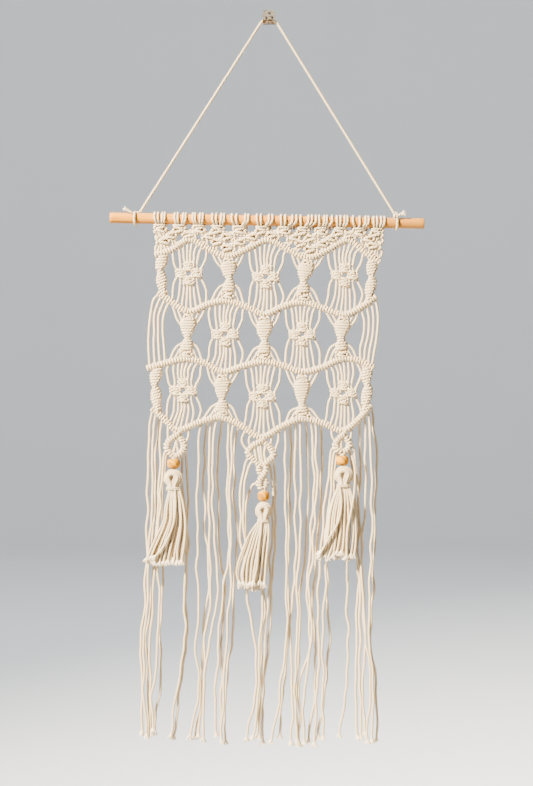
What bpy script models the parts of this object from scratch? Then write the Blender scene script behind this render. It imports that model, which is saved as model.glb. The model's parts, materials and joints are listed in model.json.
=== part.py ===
"""Macrame wall hanging on a wooden rod, with its beads, tassels, hanging cord and hook.

Sizes are in millimetres and are scaled to metres where the meshes are made. The origin is
the middle of the hook's back face. +X is right, +Z is up, and the wall is the plane y = 0
with the hanging in front of it, at negative y. Forty-eight strands, numbered from the left,
hang from the rod. A place along a knotted bar is given as a strand number from 0 to 48, and
strand i crosses each bar at i + 0.5.
"""
import math
from collections import namedtuple

import bmesh
import bpy
from mathutils import Vector

MM = 0.001
FRONT = Vector((0.0, -1.0, 0.0))
CLEARANCE = 0.35

# Materials: base colour, roughness, metallic
LOOKS = {
    "cotton_cord": ((0.86, 0.83, 0.76), 0.95, 0.0),
    "rod_wood": ((0.72, 0.52, 0.40), 0.55, 0.0),
    "bead_wood": ((0.78, 0.62, 0.38), 0.45, 0.0),
    "hook_steel": ((0.45, 0.42, 0.36), 0.4, 1.0),
}

# Section shapes: number of sides, turn of the first corner, size factor
Shape = namedtuple("Shape", "sides turn factor")
TRIANGLE = Shape(3, math.radians(90), 1.0)
BOX = Shape(4, math.radians(45), math.sqrt(2))
HEXAGON = Shape(6, 0.0, 1.0)
OCTAGON = Shape(8, math.radians(22.5), 1.0)
SMOOTH_ANGLE = math.radians(40)

# Cord, rod and cloth
CORD_RADIUS = 1.5
STRAND_RADIUS = 1.55
STRAND_ROOT = 1.1
ROD_RADIUS = 6.0
ROD_LENGTH = 355.0
ROD_CHAMFER = 0.8
ROD_SIDES = 20
ROD_CENTRE = Vector((-2.2, -11.0, -232.3))
ROD_FALL = 0.0184
CLOTH_Y = -10.0

# Loops on the rod, and the square knots that gather them
LOOP_RADIUS = 8.5
LOOP_HALF_WIDTH = 2.9
LOOP_HALF_THICKNESS = 1.2
LOOP_ANGLES = (-50, 4, 58, 112, 166, 220)
LOOP_FEET_Y = (-11.7, -8.3)
LOOP_FOOT_DROP = 11.0
LOOP_FOOT_OFFSET = 3.2
LOOP_FOOT_HALF_WIDTH = 2.4
# x of the knot, then of its left and right loop on the rod
TOP_KNOTS = ((-122.5, -126.8, -118.9), (-101.0, -104.5, -95.2), (-79.0, -84.5, -76.3),
             (-57.5, -61.6, -52.0), (-33.5, -39.3, -24.9), (-8.0, -11.3, 2.0),
             (17.0, 16.1, 28.8), (38.5, 40.3, 50.9), (59.0, 59.8, 68.4),
             (80.0, 78.8, 87.1), (101.5, 98.7, 110.7), (122.0, 120.1, 128.4))
# drop below the rod's axis, half width, half depth
TOP_KNOT_SECTIONS = ((6.9, 6.8, 3.0), (11.0, 5.9, 4.2), (14.8, 8.6, 3.4), (19.0, 9.4, 2.9))

# Rows of square knots that fill the space between the top knots and the first bar
BAND_DROP = 15.0
BAND_STATIONS = 21
BAND_HALF_DEPTHS = (2.2, 3.1)
BAND_FOOT = 0.5

# Zigzag bars of double half hitches: strand number, x, z
BAR_STEP = 4
BAR_RIDGES = 16
BAR_OVERHANG = 0.5
BAR_HALF_HEIGHTS = (3.0, 3.5)
BAR_HALF_DEPTHS = (2.6, 3.3)
BARS = (
    ((0, -128.5, -271.0), (4, -110.0, -265.0), (8, -89.5, -253.5), (12, -67.0, -265.0),
     (16, -46.0, -272.5), (20, -25.0, -264.0), (24, -1.0, -254.0), (28, 23.0, -265.5),
     (32, 44.5, -274.0), (36, 66.0, -265.5), (40, 89.5, -254.0), (44, 109.5, -268.5),
     (48, 125.0, -279.0)),
    ((0, -124.5, -313.0), (4, -112.0, -322.5), (8, -90.5, -335.0), (12, -68.0, -326.0),
     (16, -47.0, -323.0), (20, -25.5, -329.5), (24, -5.0, -338.0), (28, 16.0, -329.0),
     (32, 38.5, -324.5), (36, 61.0, -331.0), (40, 84.5, -338.5), (44, 104.0, -330.0),
     (48, 121.0, -318.0)),
    ((0, -137.5, -399.0), (4, -114.5, -392.5), (8, -94.0, -388.5), (12, -72.5, -393.0),
     (16, -52.5, -403.0), (20, -29.5, -396.5), (24, -6.0, -391.5), (28, 16.0, -396.0),
     (32, 37.5, -403.0), (36, 60.0, -398.0), (40, 82.0, -388.5), (44, 101.5, -390.5),
     (48, 118.5, -399.0)),
    ((0, -131.5, -444.0), (4, -117.5, -457.0), (8, -103.0, -469.0), (12, -78.0, -460.0),
     (16, -54.0, -454.5), (20, -30.5, -464.5), (24, -8.5, -477.0), (28, 16.0, -464.0),
     (32, 37.5, -456.0), (36, 61.0, -461.0), (40, 83.5, -469.5), (44, 101.5, -456.5),
     (48, 115.5, -440.0)),
)
FRINGE_BAR = BARS[3]

# Motifs between two bars: upper bar, first strand, x and z of the middle or the neck
FLOWERS = ((0, 4, -90.5, -292.0), (0, 20, -3.5, -296.0), (0, 36, 85.5, -294.0),
           (1, 12, -49.5, -361.0), (1, 28, 37.5, -361.0),
           (2, 4, -97.0, -424.5), (2, 20, -7.5, -431.0), (2, 36, 84.0, -427.0))
HOURGLASSES = ((0, 12, -44.5, -298.0), (0, 28, 39.0, -301.5),
               (1, 4, -92.0, -365.0), (1, 20, -5.0, -368.5), (1, 36, 81.5, -366.0),
               (2, 12, -53.0, -434.5), (2, 28, 37.5, -440.0))
EDGE_MOTIFS = ((0, 0, -123.0, -289.5), (0, 44, 116.0, -301.5),
               (2, 0, -129.0, -418.5), (2, 44, 111.5, -422.5))
MOTIF_STRANDS = 8
EDGE_STRANDS = 4

# A flower is a ring of four knots about a small hole
FLOWER_STATIONS = 12
FLOWER_REACH_X = 15.0
FLOWER_REACH_Z = 11.6
FLOWER_HOLE = 2.3
FLOWER_HALF_DEPTHS = (2.7, 3.7)
# a strand's bend and end beside the flower, from the outermost strand inwards
Entry = namedtuple("Entry", "bend_x bend_z end_x end_z")
FLOWER_ENTRIES = (Entry(15.8, 8.0, 10.8, 1.8), Entry(10.8, 10.5, 7.7, 3.8),
                  Entry(6.6, 13.5, 4.9, 6.2))
# the middle two strands lie side by side: bend z, end z, half width
FLOWER_MIDDLE = (15.0, 7.2, 2.6)

# An hourglass's body from the upper bar to the neck, then from the neck to the lower bar:
# part of the way, half width, half depth
UPPER_BODY = ((0.0, 4.6, 2.6), (0.24, 5.2, 3.2), (0.36, 9.9, 2.7), (0.5, 9.4, 3.4),
              (0.64, 8.6, 2.7), (0.8, 6.4, 3.3), (1.0, 3.0, 2.6))
LOWER_BODY = ((0.16, 5.2, 3.3), (0.3, 6.0, 2.7), (0.44, 7.2, 3.4), (0.62, 5.0, 2.7),
              (1.0, 4.6, 2.7))
# the strands beside the body: offset and part of the way of the bend, then of the end
Side = namedtuple("Side", "bend_x bend_part end_x end_part")
UPPER_SIDES = (Side(13.4, 0.25, 7.6, 0.5), Side(9.2, 0.18, 6.2, 0.4))
LOWER_SIDES = (Side(14.0, 0.7, 4.4, 0.26), Side(9.4, 0.72, 4.4, 0.46))
# an edge motif's body: part of the way between the bars, half width, half depth
EDGE_BODY = ((0.0, 4.8, 2.7), (0.15, 6.6, 3.4), (0.33, 6.2, 2.8), (0.45, 2.7, 2.4),
             (0.52, 5.4, 3.0), (0.64, 6.5, 3.4), (0.78, 5.4, 2.8), (0.86, 4.0, 3.2),
             (1.0, 5.2, 2.7))

# Loose strands beside the second panel: strand, then x and z down between the bars
LOOSE_STRANDS = (
    (0, (-130.0, -321.0), (-133.5, -337.0), (-135.5, -356.0), (-136.0, -375.0)),
    (1, (-124.3, -323.0), (-129.4, -339.0), (-129.5, -356.0), (-130.0, -371.0)),
    (2, (-119.0, -324.5), (-124.5, -339.0), (-125.0, -356.0), (-124.8, -371.0)),
    (3, (-114.0, -326.0), (-118.8, -339.0), (-120.0, -354.0), (-118.7, -371.0)),
    (44, (105.5, -336.0), (108.0, -346.0), (107.0, -361.5), (103.5, -376.5)),
    (45, (111.5, -333.0), (113.3, -344.5), (112.4, -361.5), (109.0, -376.5)),
    (46, (116.8, -330.0), (118.4, -343.5), (117.4, -361.5), (114.4, -376.5)),
    (47, (121.6, -327.0), (123.5, -342.0), (122.2, -361.5), (119.8, -376.5)),
)

# Diamond motifs that hang from the last bar's three points
Pendant = namedtuple("Pendant", "strand left_x left_z right_x right_z top_x top_z foot_x foot_z")
PENDANTS = (Pendant(8, -115.5, -486.5, -94.5, -488.0, -103.5, -480.5, -105.5, -497.2),
            Pendant(24, -24.0, -495.0, 5.5, -497.5, -9.0, -487.0, -7.6, -511.5),
            Pendant(40, 74.0, -483.5, 93.5, -482.5, 83.0, -477.5, 82.0, -494.3))
PENDANT_HALF_SIZES = (2.3, 2.7)
# crossing knot between the bar and the diamond: part of the way, half width, half depth
CROSSING_SECTIONS = ((0.0, 4.4, 2.9), (0.4, 6.2, 3.6), (0.7, 5.4, 3.0), (1.0, 3.6, 3.1))
CROSSING_ROOT = 1.5
# doubled strands across each diamond: pendant, x at the top and at the foot, half width
DIAMOND_STRANDS = ((0, -104.0, -105.2, 2.5), (1, -13.4, -11.8, 2.1), (1, -5.2, -4.2, 2.1),
                   (2, 82.8, 82.4, 2.3))
# strands from the bar to a diamond's corner: bar strand, bend x and z, end x and z
CORNER_STRANDS = ((5.0, -114.2, -478.0, -113.8, -484.6), (9.9, -91.0, -476.0, -96.0, -486.4),
                  (20.8, -30.6, -481.0, -23.0, -494.2), (22.1, -22.6, -481.0, -19.0, -491.6),
                  (25.9, 2.6, -481.5, 0.8, -493.0), (27.1, 10.6, -481.0, 5.0, -495.4),
                  (37.8, 71.4, -475.5, 75.6, -482.4), (42.1, 93.0, -473.5, 91.6, -481.2))
# knot under the centre diamond: z, half width, half depth
CENTRE_KNOT = ((-510.0, 4.4, 2.8), (-515.5, 7.2, 3.6), (-520.5, 6.4, 2.9), (-525.5, 7.4, 3.6),
               (-530.5, 6.0, 2.9), (-535.8, 4.4, 3.2))
CENTRE_KNOT_X = -7.6

# Turned beads, each on a stem of cords, and the tassels under them
Bead = namedtuple("Bead", "name x z radius half_height")
BEADS = (Bead("bead_left", -107.7, -506.6, 7.45, 5.3),
         Bead("bead_centre", -6.1, -543.2, 6.65, 5.5),
         Bead("bead_right", 82.7, -503.0, 7.2, 5.3))
BEAD_Y = -12.0
BEAD_STEPS = 14
BORE_RADIUS = 2.75
STEM_RADIUS = 2.2
# outer profile from the top down: part of the half height, part of the radius
BEAD_PROFILE = ((1.0, 0.6), (0.72, 0.87), (0.0, 1.0), (-0.72, 0.87), (-1.0, 0.6))

TASSEL_Y = -13.7
# part of the way down the head, half width as a part of the head's, half depth
HEAD_SECTIONS = ((0.0, 0.3, 2.4), (0.14, 0.78, 4.3), (0.38, 1.0, 5.0), (0.68, 0.95, 5.0),
                 (0.88, 0.74, 4.6), (1.0, 0.76, 4.5), (1.14, 0.8, 4.3))
SKIRT_LAYERS = (-15.3, -12.1)
SKIRT_FILL = 0.4
SKIRT_HALF_DEPTH = 1.5
Tassel = namedtuple("Tassel", "name bead x foot_z half_width locks skirt")
# a skirt's rows: z, left edge, right edge
TASSELS = (
    Tassel("tassel_left", 0, -107.8, -535.0, 10.8, 5,
           ((-535.5, -113.8, -98.9), (-553.5, -117.5, -95.5), (-570.5, -119.5, -93.2),
            (-587.5, -127.7, -93.2), (-602.0, -134.5, -94.9), (-615.0, -140.1, -96.1))),
    Tassel("tassel_centre", 1, -6.1, -571.5, 9.4, 4,
           ((-572.5, -12.2, 0.8), (-584.0, -21.5, 1.7), (-599.0, -28.3, 1.1),
            (-616.0, -34.5, 0.0), (-629.5, -37.3, -1.1), (-642.5, -35.6, -3.4))),
    Tassel("tassel_right", 2, 84.6, -532.0, 10.7, 5,
           ((-533.0, 77.0, 92.2), (-548.0, 70.6, 96.1), (-565.0, 65.5, 98.9),
            (-582.0, 63.3, 100.0), (-599.0, 60.5, 98.9), (-612.0, 55.9, 98.3))),
)

# Fringe: each strand hangs in one of three layers in front of the wall
FRINGE_LEVELS = (-540.0, -600.0, -650.0, -705.0, -760.0)
FRINGE_LAYERS = (-3.0, -5.8, -8.6)
# drop below the root where a strand reaches its layer, and its part of the way sideways by then
Settle = namedtuple("Settle", "drop sideways")
BAR_SETTLE = Settle(14.0, 0.7)
PENDANT_SETTLE = Settle(8.0, 0.45)
FRINGE_PITCH = 3.2
END_PITCH = 4.9
TUFT_LENGTH = 5.0
TUFT_RADIUS = 2.6
# root x, root z (None for a strand that leaves the bar at the given strand number), layer,
# x at each level and at the end, z of the end
FRINGE = (
    (0, None, 1, -136.5, -137.5, -140.5, -144.5, -144.5, -144.5, -812.5),
    (1, None, 2, -132.0, -134.5, -137.0, -140.5, -142.5, -140.0, -816.0),
    (2, None, 0, -127.5, -131.0, -133.0, -138.0, -138.0, -136.5, -816.0),
    (3, None, 1, -124.5, -127.5, -131.0, -135.0, -135.0, -134.5, -814.5),
    (-115.0, -488.5, 2, -122.5, -125.5, -124.5, -127.0, -131.0, -133.5, -809.0),
    (-112.0, -491.5, 0, -120.5, -122.0, -122.0, -123.5, -124.5, -129.5, -812.5),
    (-100.2, -492.2, 1, -96.5, -94.0, -96.5, -95.5, -103.5, -110.5, -816.0),
    (-95.5, -489.0, 0, -92.5, -91.5, -94.5, -93.0, -100.5, -108.0, -818.0),
    (12, None, 2, -80.5, -80.0, -79.0, -82.5, -78.0, -90.0, -817.0),
    (13, None, 0, -73.0, -70.5, -69.0, -75.5, -76.5, -84.0, -818.0),
    (14, None, 1, -68.5, -67.0, -65.5, -71.0, -74.5, -79.0, -816.0),
    (15, None, 2, -63.5, -59.0, -57.5, -66.0, -73.0, -74.5, -820.5),
    (16, None, 0, -57.0, -56.5, -51.0, -52.0, -53.5, -55.5, -814.5),
    (17, None, 1, -46.5, -45.0, -51.5, -55.5, -59.0, -60.0, -814.5),
    (18, None, 2, -43.5, -42.5, -43.5, -48.0, -51.5, -53.0, -822.5),
    (19, None, 0, -39.5, -36.0, -40.0, -41.0, -48.5, -51.0, -824.0),
    (-21.5, -498.0, 1, -32.5, -31.0, -26.0, -17.5, -15.0, -26.0, -820.5),
    (-17.5, -502.0, 2, -29.0, -27.0, -8.0, -10.5, -12.0, -19.0, -818.0),
    (-13.2, -528.0, 0, -20.5, -25.0, -6.0, -8.0, -10.0, -14.0, -817.0),
    (-0.5, -504.5, 1, 4.5, 3.0, -1.0, -4.5, -8.0, -10.5, -817.0),
    (3.5, -500.0, 0, 8.0, 6.0, 2.5, 0.0, -6.0, -8.5, -824.0),
    (28, None, 2, 18.5, 19.0, 20.0, 19.0, 13.0, 2.5, -822.5),
    (29, None, 0, 24.5, 22.0, 21.5, 21.0, 15.5, 14.0, -817.0),
    (30, None, 1, 30.5, 30.0, 26.5, 25.0, 26.0, 26.0, -824.0),
    (31, None, 2, 36.0, 35.0, 32.0, 32.0, 29.0, 31.5, -822.5),
    (32, None, 0, 44.0, 42.5, 35.5, 35.0, 31.0, 33.0, -824.0),
    (33, None, 1, 51.0, 47.0, 42.0, 46.5, 34.0, 35.5, -826.0),
    (34, None, 2, 54.0, 51.0, 46.5, 48.0, 40.5, 38.0, -824.0),
    (35, None, 0, 59.5, 55.5, 50.0, 51.5, 52.0, 45.0, -821.5),
    (74.8, -484.8, 1, 66.0, 60.5, 55.5, 56.5, 55.0, 52.0, -826.0),
    (77.0, -487.8, 2, 70.0, 65.5, 64.0, 60.0, 61.0, 61.0, -818.0),
    (79.9, -491.4, 0, 73.5, 68.0, 66.0, 68.0, 64.0, 56.0, -818.0),
    (85.0, -491.5, 0, 86.0, 88.0, 88.5, 90.0, 88.5, 79.0, -816.0),
    (88.5, -487.5, 1, 97.0, 100.0, 103.0, 102.5, 104.0, 105.0, -819.0),
    (92.3, -484.0, 2, 101.5, 104.0, 106.0, 110.5, 117.5, 117.5, -822.5),
    (44, None, 0, 103.0, 101.0, 101.0, 100.0, 98.5, 99.5, -818.0),
    (45, None, 1, 110.0, 105.5, 105.0, 109.5, 105.5, 109.0, -813.5),
    (46, None, 2, 116.0, 114.5, 114.0, 112.5, 116.5, 110.5, -821.5),
    (47, None, 0, 121.0, 120.5, 118.5, 115.0, 121.0, 122.0, -820.5),
)

# Hanging cord and its ties
CORD_Y = -3.1
# the cord's bend over the hook, right half: x, z
HOOK_BEND = ((3.0, -5.5), (6.8, -5.6), (8.6, -6.6), (10.2, -8.8))
CORD_LEFT_END = Vector((-146.2, -3.1, -222.0))
CORD_RIGHT_END = Vector((141.6, -17.2, -225.2))
WRAP_RADIUS = 8.3
WRAP_STEPS = 12
WRAP_SIDES = 6
KNOT_STEPS = 7
KNOT_RINGS = 5
TAIL_FLARE = 1.4
# wrap: x in front of the rod and behind it; knot: centre, half sizes, turn about Y; tail: points
Tie = namedtuple("Tie", "name front_x back_x knot_at knot_size knot_turn tail")
TIES = (
    Tie("rod_tie_left", -151.6, -148.2, (-147.9, -3.2, -226.2), (2.2, 1.8, 4.2), 15.0,
        ((-151.3, -14.5, -221.6), (-154.5, -16.8, -222.4), (-159.0, -17.6, -221.4),
         (-164.0, -17.6, -219.4))),
    Tie("rod_tie_right", 144.6, 143.6, (143.6, -17.6, -229.0), (2.6, 2.2, 3.4), -40.0,
        ((143.9, -17.0, -228.4), (148.0, -18.2, -227.6), (152.6, -18.4, -227.0),
         (155.6, -18.4, -225.4))),
)

# Hook: a plate with a fold that holds the cord, and three nail holes
HOOK_HALF_WIDTH = 7.0
HOOK_THICKNESS = 1.2
HOOK_TOP = 7.6
HOOK_CORNER = 3.0
HOOK_BOTTOM = -8.7
HOOK_FOLD_INSIDE = -7.6
HOOK_FOLD_BOTTOM = -8.6
HOOK_FOLD_REACH = 6.9
HOOK_SLOPE = 0.8
HOOK_LIP_TOP = -3.6
HOOK_LIP_Y = (-4.95, -6.1)
# x and z
NAIL_HOLES = ((0.4, 4.1), (-3.2, -0.9), (3.5, -0.7))
NAIL_HOLE_RADIUS = 1.2
NAIL_HOLE_SIDES = 12


def rod_z(x):
    """Height of the rod's axis at x."""
    return ROD_CENTRE.z - ROD_FALL * (x - ROD_CENTRE.x)


def cloth(x, z):
    """Place in the cloth's plane."""
    return Vector((x, CLOTH_Y, z))


def bar_point(bar, strand, rise=0.0):
    """Place on a bar's centre line at a strand number, raised a little."""
    index = min(max(int(strand // BAR_STEP), 0), len(bar) - 2)
    start, x0, z0 = bar[index]
    end, x1, z1 = bar[index + 1]
    part = (strand - start) / (end - start)
    return cloth(x0 + part * (x1 - x0), z0 + part * (z1 - z0) + rise)


def skin(bm, stations, shape, closed=False):
    """Skin a tube through stations of (centre, across, toward)."""
    rings = []
    for centre, across, toward in stations:
        ring = []
        for corner in range(shape.sides):
            turn = shape.turn + 2.0 * math.pi * corner / shape.sides
            offset = math.cos(turn) * across + math.sin(turn) * toward
            ring.append(bm.verts.new((centre + shape.factor * offset) * MM))
        rings.append(ring)
    pairs = list(zip(rings, rings[1:]))
    if closed:
        pairs.append((rings[-1], rings[0]))
    for ring, following in pairs:
        for corner in range(shape.sides):
            after = (corner + 1) % shape.sides
            bm.faces.new((ring[corner], ring[after], following[after], following[corner]))
    if not closed:
        bm.faces.new(rings[0])
        bm.faces.new(rings[-1])


def along_path(points, half_widths, half_depths, closed=False):
    """Stations square to a path, with the depth direction kept toward the front."""
    count = len(points)
    stations = []
    for index, place in enumerate(points):
        if closed:
            before, after = points[index - 1], points[(index + 1) % count]
        else:
            before, after = points[max(index - 1, 0)], points[min(index + 1, count - 1)]
        way = (after - before).normalized()
        toward = (FRONT - FRONT.dot(way) * way).normalized()
        across = way.cross(toward)
        stations.append((place, across * half_widths[index], toward * half_depths[index]))
    return stations


def strand(bm, points, end_radius=None):
    """One cord of triangular section along its points."""
    widths = [STRAND_RADIUS] * len(points)
    if end_radius:
        widths[-1] = end_radius
    skin(bm, along_path(points, widths, [STRAND_RADIUS] * len(points)), TRIANGLE)


def upright(x, z, half_width, half_depth, y=CLOTH_Y):
    """Level station of a body that runs up and down."""
    return Vector((x, y, z)), Vector((half_width, 0.0, 0.0)), FRONT * half_depth


def bar(bm, rows, margin=0.0):
    """Ridged bar along its table, enlarged all round by the margin."""
    count = 2 * BAR_RIDGES + 1
    first = -BAR_OVERHANG - margin / BAR_STEP
    last = rows[-1][0] - first
    points = [bar_point(rows, first + (last - first) * index / (count - 1))
              for index in range(count)]
    heights = [BAR_HALF_HEIGHTS[index % 2] + margin for index in range(count)]
    depths = [BAR_HALF_DEPTHS[index % 2] + margin for index in range(count)]
    skin(bm, along_path(points, heights, depths), BOX)


def rod_loop(bm, knot_x, loop_x, hand):
    """Doubled cord over the rod, with both of its feet in the knot below."""
    foot_x = knot_x + hand * LOOP_FOOT_OFFSET
    foot_z = rod_z(foot_x) - LOOP_FOOT_DROP
    axis = Vector((loop_x, ROD_CENTRE.y, rod_z(loop_x)))
    stations = []
    for degrees in LOOP_ANGLES:
        turn = math.radians(degrees)
        outward = Vector((0.0, -math.cos(turn), math.sin(turn)))
        stations.append((axis + LOOP_RADIUS * outward, Vector((LOOP_HALF_WIDTH, 0.0, 0.0)),
                         outward * LOOP_HALF_THICKNESS))
    front_y, back_y = LOOP_FEET_Y
    foot_across = Vector((LOOP_FOOT_HALF_WIDTH, 0.0, 0.0))
    stations.insert(0, (Vector((foot_x, front_y, foot_z)), foot_across, stations[0][2]))
    stations.append((Vector((foot_x, back_y, foot_z)), foot_across, stations[-1][2]))
    skin(bm, stations, BOX)


def top_knot(bm, knot_x):
    """Square knot that gathers two loops."""
    stations = [upright(knot_x, rod_z(knot_x) - drop, half_width, half_depth)
                for drop, half_width, half_depth in TOP_KNOT_SECTIONS]
    skin(bm, stations, BOX)


def band(bm):
    """Rows of square knots from below the top knots to the first bar."""
    stations = []
    for index in range(BAND_STATIONS):
        foot = bar_point(BARS[0], index * BARS[0][-1][0] / (BAND_STATIONS - 1), BAND_FOOT)
        top = rod_z(foot.x) - BAND_DROP
        height = 0.5 * (top - foot.z)
        depth = BAND_HALF_DEPTHS[index % 2]
        stations.append((cloth(foot.x, foot.z + height), Vector((0.0, 0.0, height)),
                         FRONT * depth))
    skin(bm, stations, BOX)


def flower_ring(bm, x, z):
    """Four knots about a hole, fused into one ring."""
    stations = []
    for index in range(FLOWER_STATIONS):
        turn = 2.0 * math.pi * index / FLOWER_STATIONS
        outward = Vector((math.cos(turn), 0.0, math.sin(turn)))
        reach = 1.0 / (abs(outward.x) / FLOWER_REACH_X + abs(outward.z) / FLOWER_REACH_Z)
        half_width = 0.5 * (reach - FLOWER_HOLE)
        centre = cloth(x, z) + outward * (FLOWER_HOLE + half_width)
        stations.append((centre, outward * half_width, FRONT * FLOWER_HALF_DEPTHS[index % 2]))
    skin(bm, stations, BOX, closed=True)


def flower_strands(bm, upper, lower, first, x, z):
    """The strands above a flower and below it, three on each side and two in the middle."""
    middle = first + MOTIF_STRANDS // 2
    bend_z, end_z, half_width = FLOWER_MIDDLE
    for rows, up in ((upper, 1.0), (lower, -1.0)):
        for column, entry in enumerate(FLOWER_ENTRIES):
            for side, number in ((-1.0, column), (1.0, MOTIF_STRANDS - 1 - column)):
                strand(bm, [bar_point(rows, first + number + 0.5, -up * STRAND_ROOT),
                            cloth(x + side * entry.bend_x, z + up * entry.bend_z),
                            cloth(x + side * entry.end_x, z + up * entry.end_z)])
        root = bar_point(rows, middle, -up * STRAND_ROOT)
        skin(bm, [upright(root.x, root.z, half_width, STRAND_RADIUS),
                  upright(x, z + up * bend_z, half_width, STRAND_RADIUS),
                  upright(x, z + up * end_z, half_width, STRAND_RADIUS)], BOX)


def hourglass_body(bm, upper, lower, first, x, z):
    """The knotted middle of an hourglass, from bar to bar."""
    middle = first + MOTIF_STRANDS // 2
    top = bar_point(upper, middle, -STRAND_ROOT)
    neck = cloth(x, z)
    foot = bar_point(lower, middle, STRAND_ROOT)
    stations = []
    for start, end, rows in ((top, neck, UPPER_BODY), (neck, foot, LOWER_BODY)):
        for part, half_width, half_depth in rows:
            place = start.lerp(end, part)
            stations.append(upright(place.x, place.z, half_width, half_depth))
    skin(bm, stations, BOX)


def hourglass_strands(bm, upper, lower, first, x, z):
    """The two outer strands on each side, above and below the neck."""
    middle = first + MOTIF_STRANDS // 2
    neck = cloth(x, z)
    for rows, up, sides in ((upper, 1.0, UPPER_SIDES), (lower, -1.0, LOWER_SIDES)):
        centre = bar_point(rows, middle)
        start, end = (centre, neck) if up > 0.0 else (neck, centre)
        for column, side in enumerate(sides):
            bend = start.lerp(end, side.bend_part)
            finish = start.lerp(end, side.end_part)
            for hand, number in ((-1.0, column), (1.0, MOTIF_STRANDS - 1 - column)):
                strand(bm, [bar_point(rows, first + number + 0.5, -up * STRAND_ROOT),
                            bend + Vector((hand * side.bend_x, 0.0, 0.0)),
                            finish + Vector((hand * side.end_x, 0.0, 0.0))])


def edge_body(bm, upper, lower, first, x, z):
    """The narrow motif at an edge, from bar to bar."""
    top = bar_point(upper, first + EDGE_STRANDS // 2, -STRAND_ROOT)
    foot = bar_point(lower, first + EDGE_STRANDS // 2, STRAND_ROOT)
    neck_part = (top.z - z) / (top.z - foot.z)
    stations = []
    for part, half_width, half_depth in EDGE_BODY:
        if part < neck_part:
            place_x = top.x + (x - top.x) * part / neck_part
        else:
            place_x = x + (foot.x - x) * (part - neck_part) / (1.0 - neck_part)
        place_z = top.z + (foot.z - top.z) * part
        stations.append(upright(place_x, place_z, half_width, half_depth))
    skin(bm, stations, BOX)


def pendant_ring(bm, pendant):
    """Diamond of hitched arms."""
    corners = (cloth(pendant.top_x, pendant.top_z), cloth(pendant.right_x, pendant.right_z),
               cloth(pendant.foot_x, pendant.foot_z), cloth(pendant.left_x, pendant.left_z))
    points = []
    for corner, following in zip(corners, corners[1:] + corners[:1]):
        points += [corner, corner.lerp(following, 0.33), corner.lerp(following, 0.67)]
    half_sizes = [PENDANT_HALF_SIZES[index % 2] for index in range(len(points))]
    skin(bm, along_path(points, half_sizes, half_sizes, closed=True), BOX, closed=True)


def crossing_knot(bm, pendant):
    """Knot between a point of the bar and the diamond below it."""
    top = bar_point(FRINGE_BAR, pendant.strand, -CROSSING_ROOT)
    foot = cloth(pendant.top_x, pendant.top_z - 1.0)
    stations = []
    for part, half_width, half_depth in CROSSING_SECTIONS:
        place = top.lerp(foot, part)
        stations.append(upright(place.x, place.z, half_width, half_depth))
    skin(bm, stations, BOX)


def spread(places, pitch):
    """Push neighbours in one layer apart to at least the pitch, keeping their order."""
    for _ in range(40):
        for index in range(len(places) - 1):
            lack = pitch - (places[index + 1] - places[index])
            if lack > 0.0:
                places[index] -= 0.5 * lack
                places[index + 1] += 0.5 * lack
    return places


def fringe_strands(bm):
    """The loose strands below the last bar, in three layers."""
    for layer, layer_y in enumerate(FRINGE_LAYERS):
        rows = [row for row in FRINGE if row[2] == layer]
        columns = [spread([row[3 + level] for row in rows], FRINGE_PITCH)
                   for level in range(len(FRINGE_LEVELS))]
        ends = spread([row[8] for row in rows], END_PITCH)
        for index, row in enumerate(rows):
            if row[1] is None:
                root = bar_point(FRINGE_BAR, row[0] + 0.5, -STRAND_ROOT)
                settle = BAR_SETTLE
            else:
                root = cloth(row[0], row[1])
                settle = PENDANT_SETTLE
            first = Vector((columns[0][index], layer_y, FRINGE_LEVELS[0]))
            settled_x = root.x + settle.sideways * (first.x - root.x)
            points = [root, Vector((settled_x, layer_y, root.z - settle.drop))]
            for level, z in enumerate(FRINGE_LEVELS):
                points.append(Vector((columns[level][index], layer_y, z)))
            end_z = row[9]
            points.append(Vector((ends[index], layer_y, end_z + TUFT_LENGTH)))
            points.append(Vector((ends[index], layer_y, end_z)))
            strand(bm, points, end_radius=TUFT_RADIUS)


def stem(bm, bead, root):
    """Cords that pass from a pendant through a bead."""
    top = bead.z + bead.half_height + CLEARANCE
    foot = bead.z - bead.half_height - CLEARANCE
    stations = [upright(root.x, root.z, STEM_RADIUS, STEM_RADIUS, root.y),
                upright(bead.x, top, STEM_RADIUS, STEM_RADIUS, BEAD_Y),
                upright(bead.x, foot, STEM_RADIUS, STEM_RADIUS, BEAD_Y)]
    skin(bm, stations, HEXAGON)


def tassel_head(bm, tassel):
    """Looped head and the bound neck under it."""
    bead = BEADS[tassel.bead]
    top = bead.z - bead.half_height - 2.0 * CLEARANCE
    stations = []
    for part, width_part, half_depth in HEAD_SECTIONS:
        z = top + (tassel.foot_z - top) * part
        stations.append(upright(tassel.x, z, tassel.half_width * width_part, half_depth, TASSEL_Y))
    skin(bm, stations, OCTAGON)


def tassel_locks(bm, tassel):
    """Locks of the skirt, in a front layer and a back layer."""
    for layer_y, count, shift in zip(SKIRT_LAYERS, (tassel.locks, tassel.locks - 1), (0.5, 1.0)):
        for lock in range(count):
            stations = []
            for z, left, right in tassel.skirt:
                pitch = (right - left) / tassel.locks
                x = left + pitch * (lock + shift)
                half_width = max(SKIRT_FILL * pitch, 1.2) / math.cos(math.radians(30))
                stations.append(upright(x, z, half_width, SKIRT_HALF_DEPTH, layer_y))
            skin(bm, stations, TRIANGLE)


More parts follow.
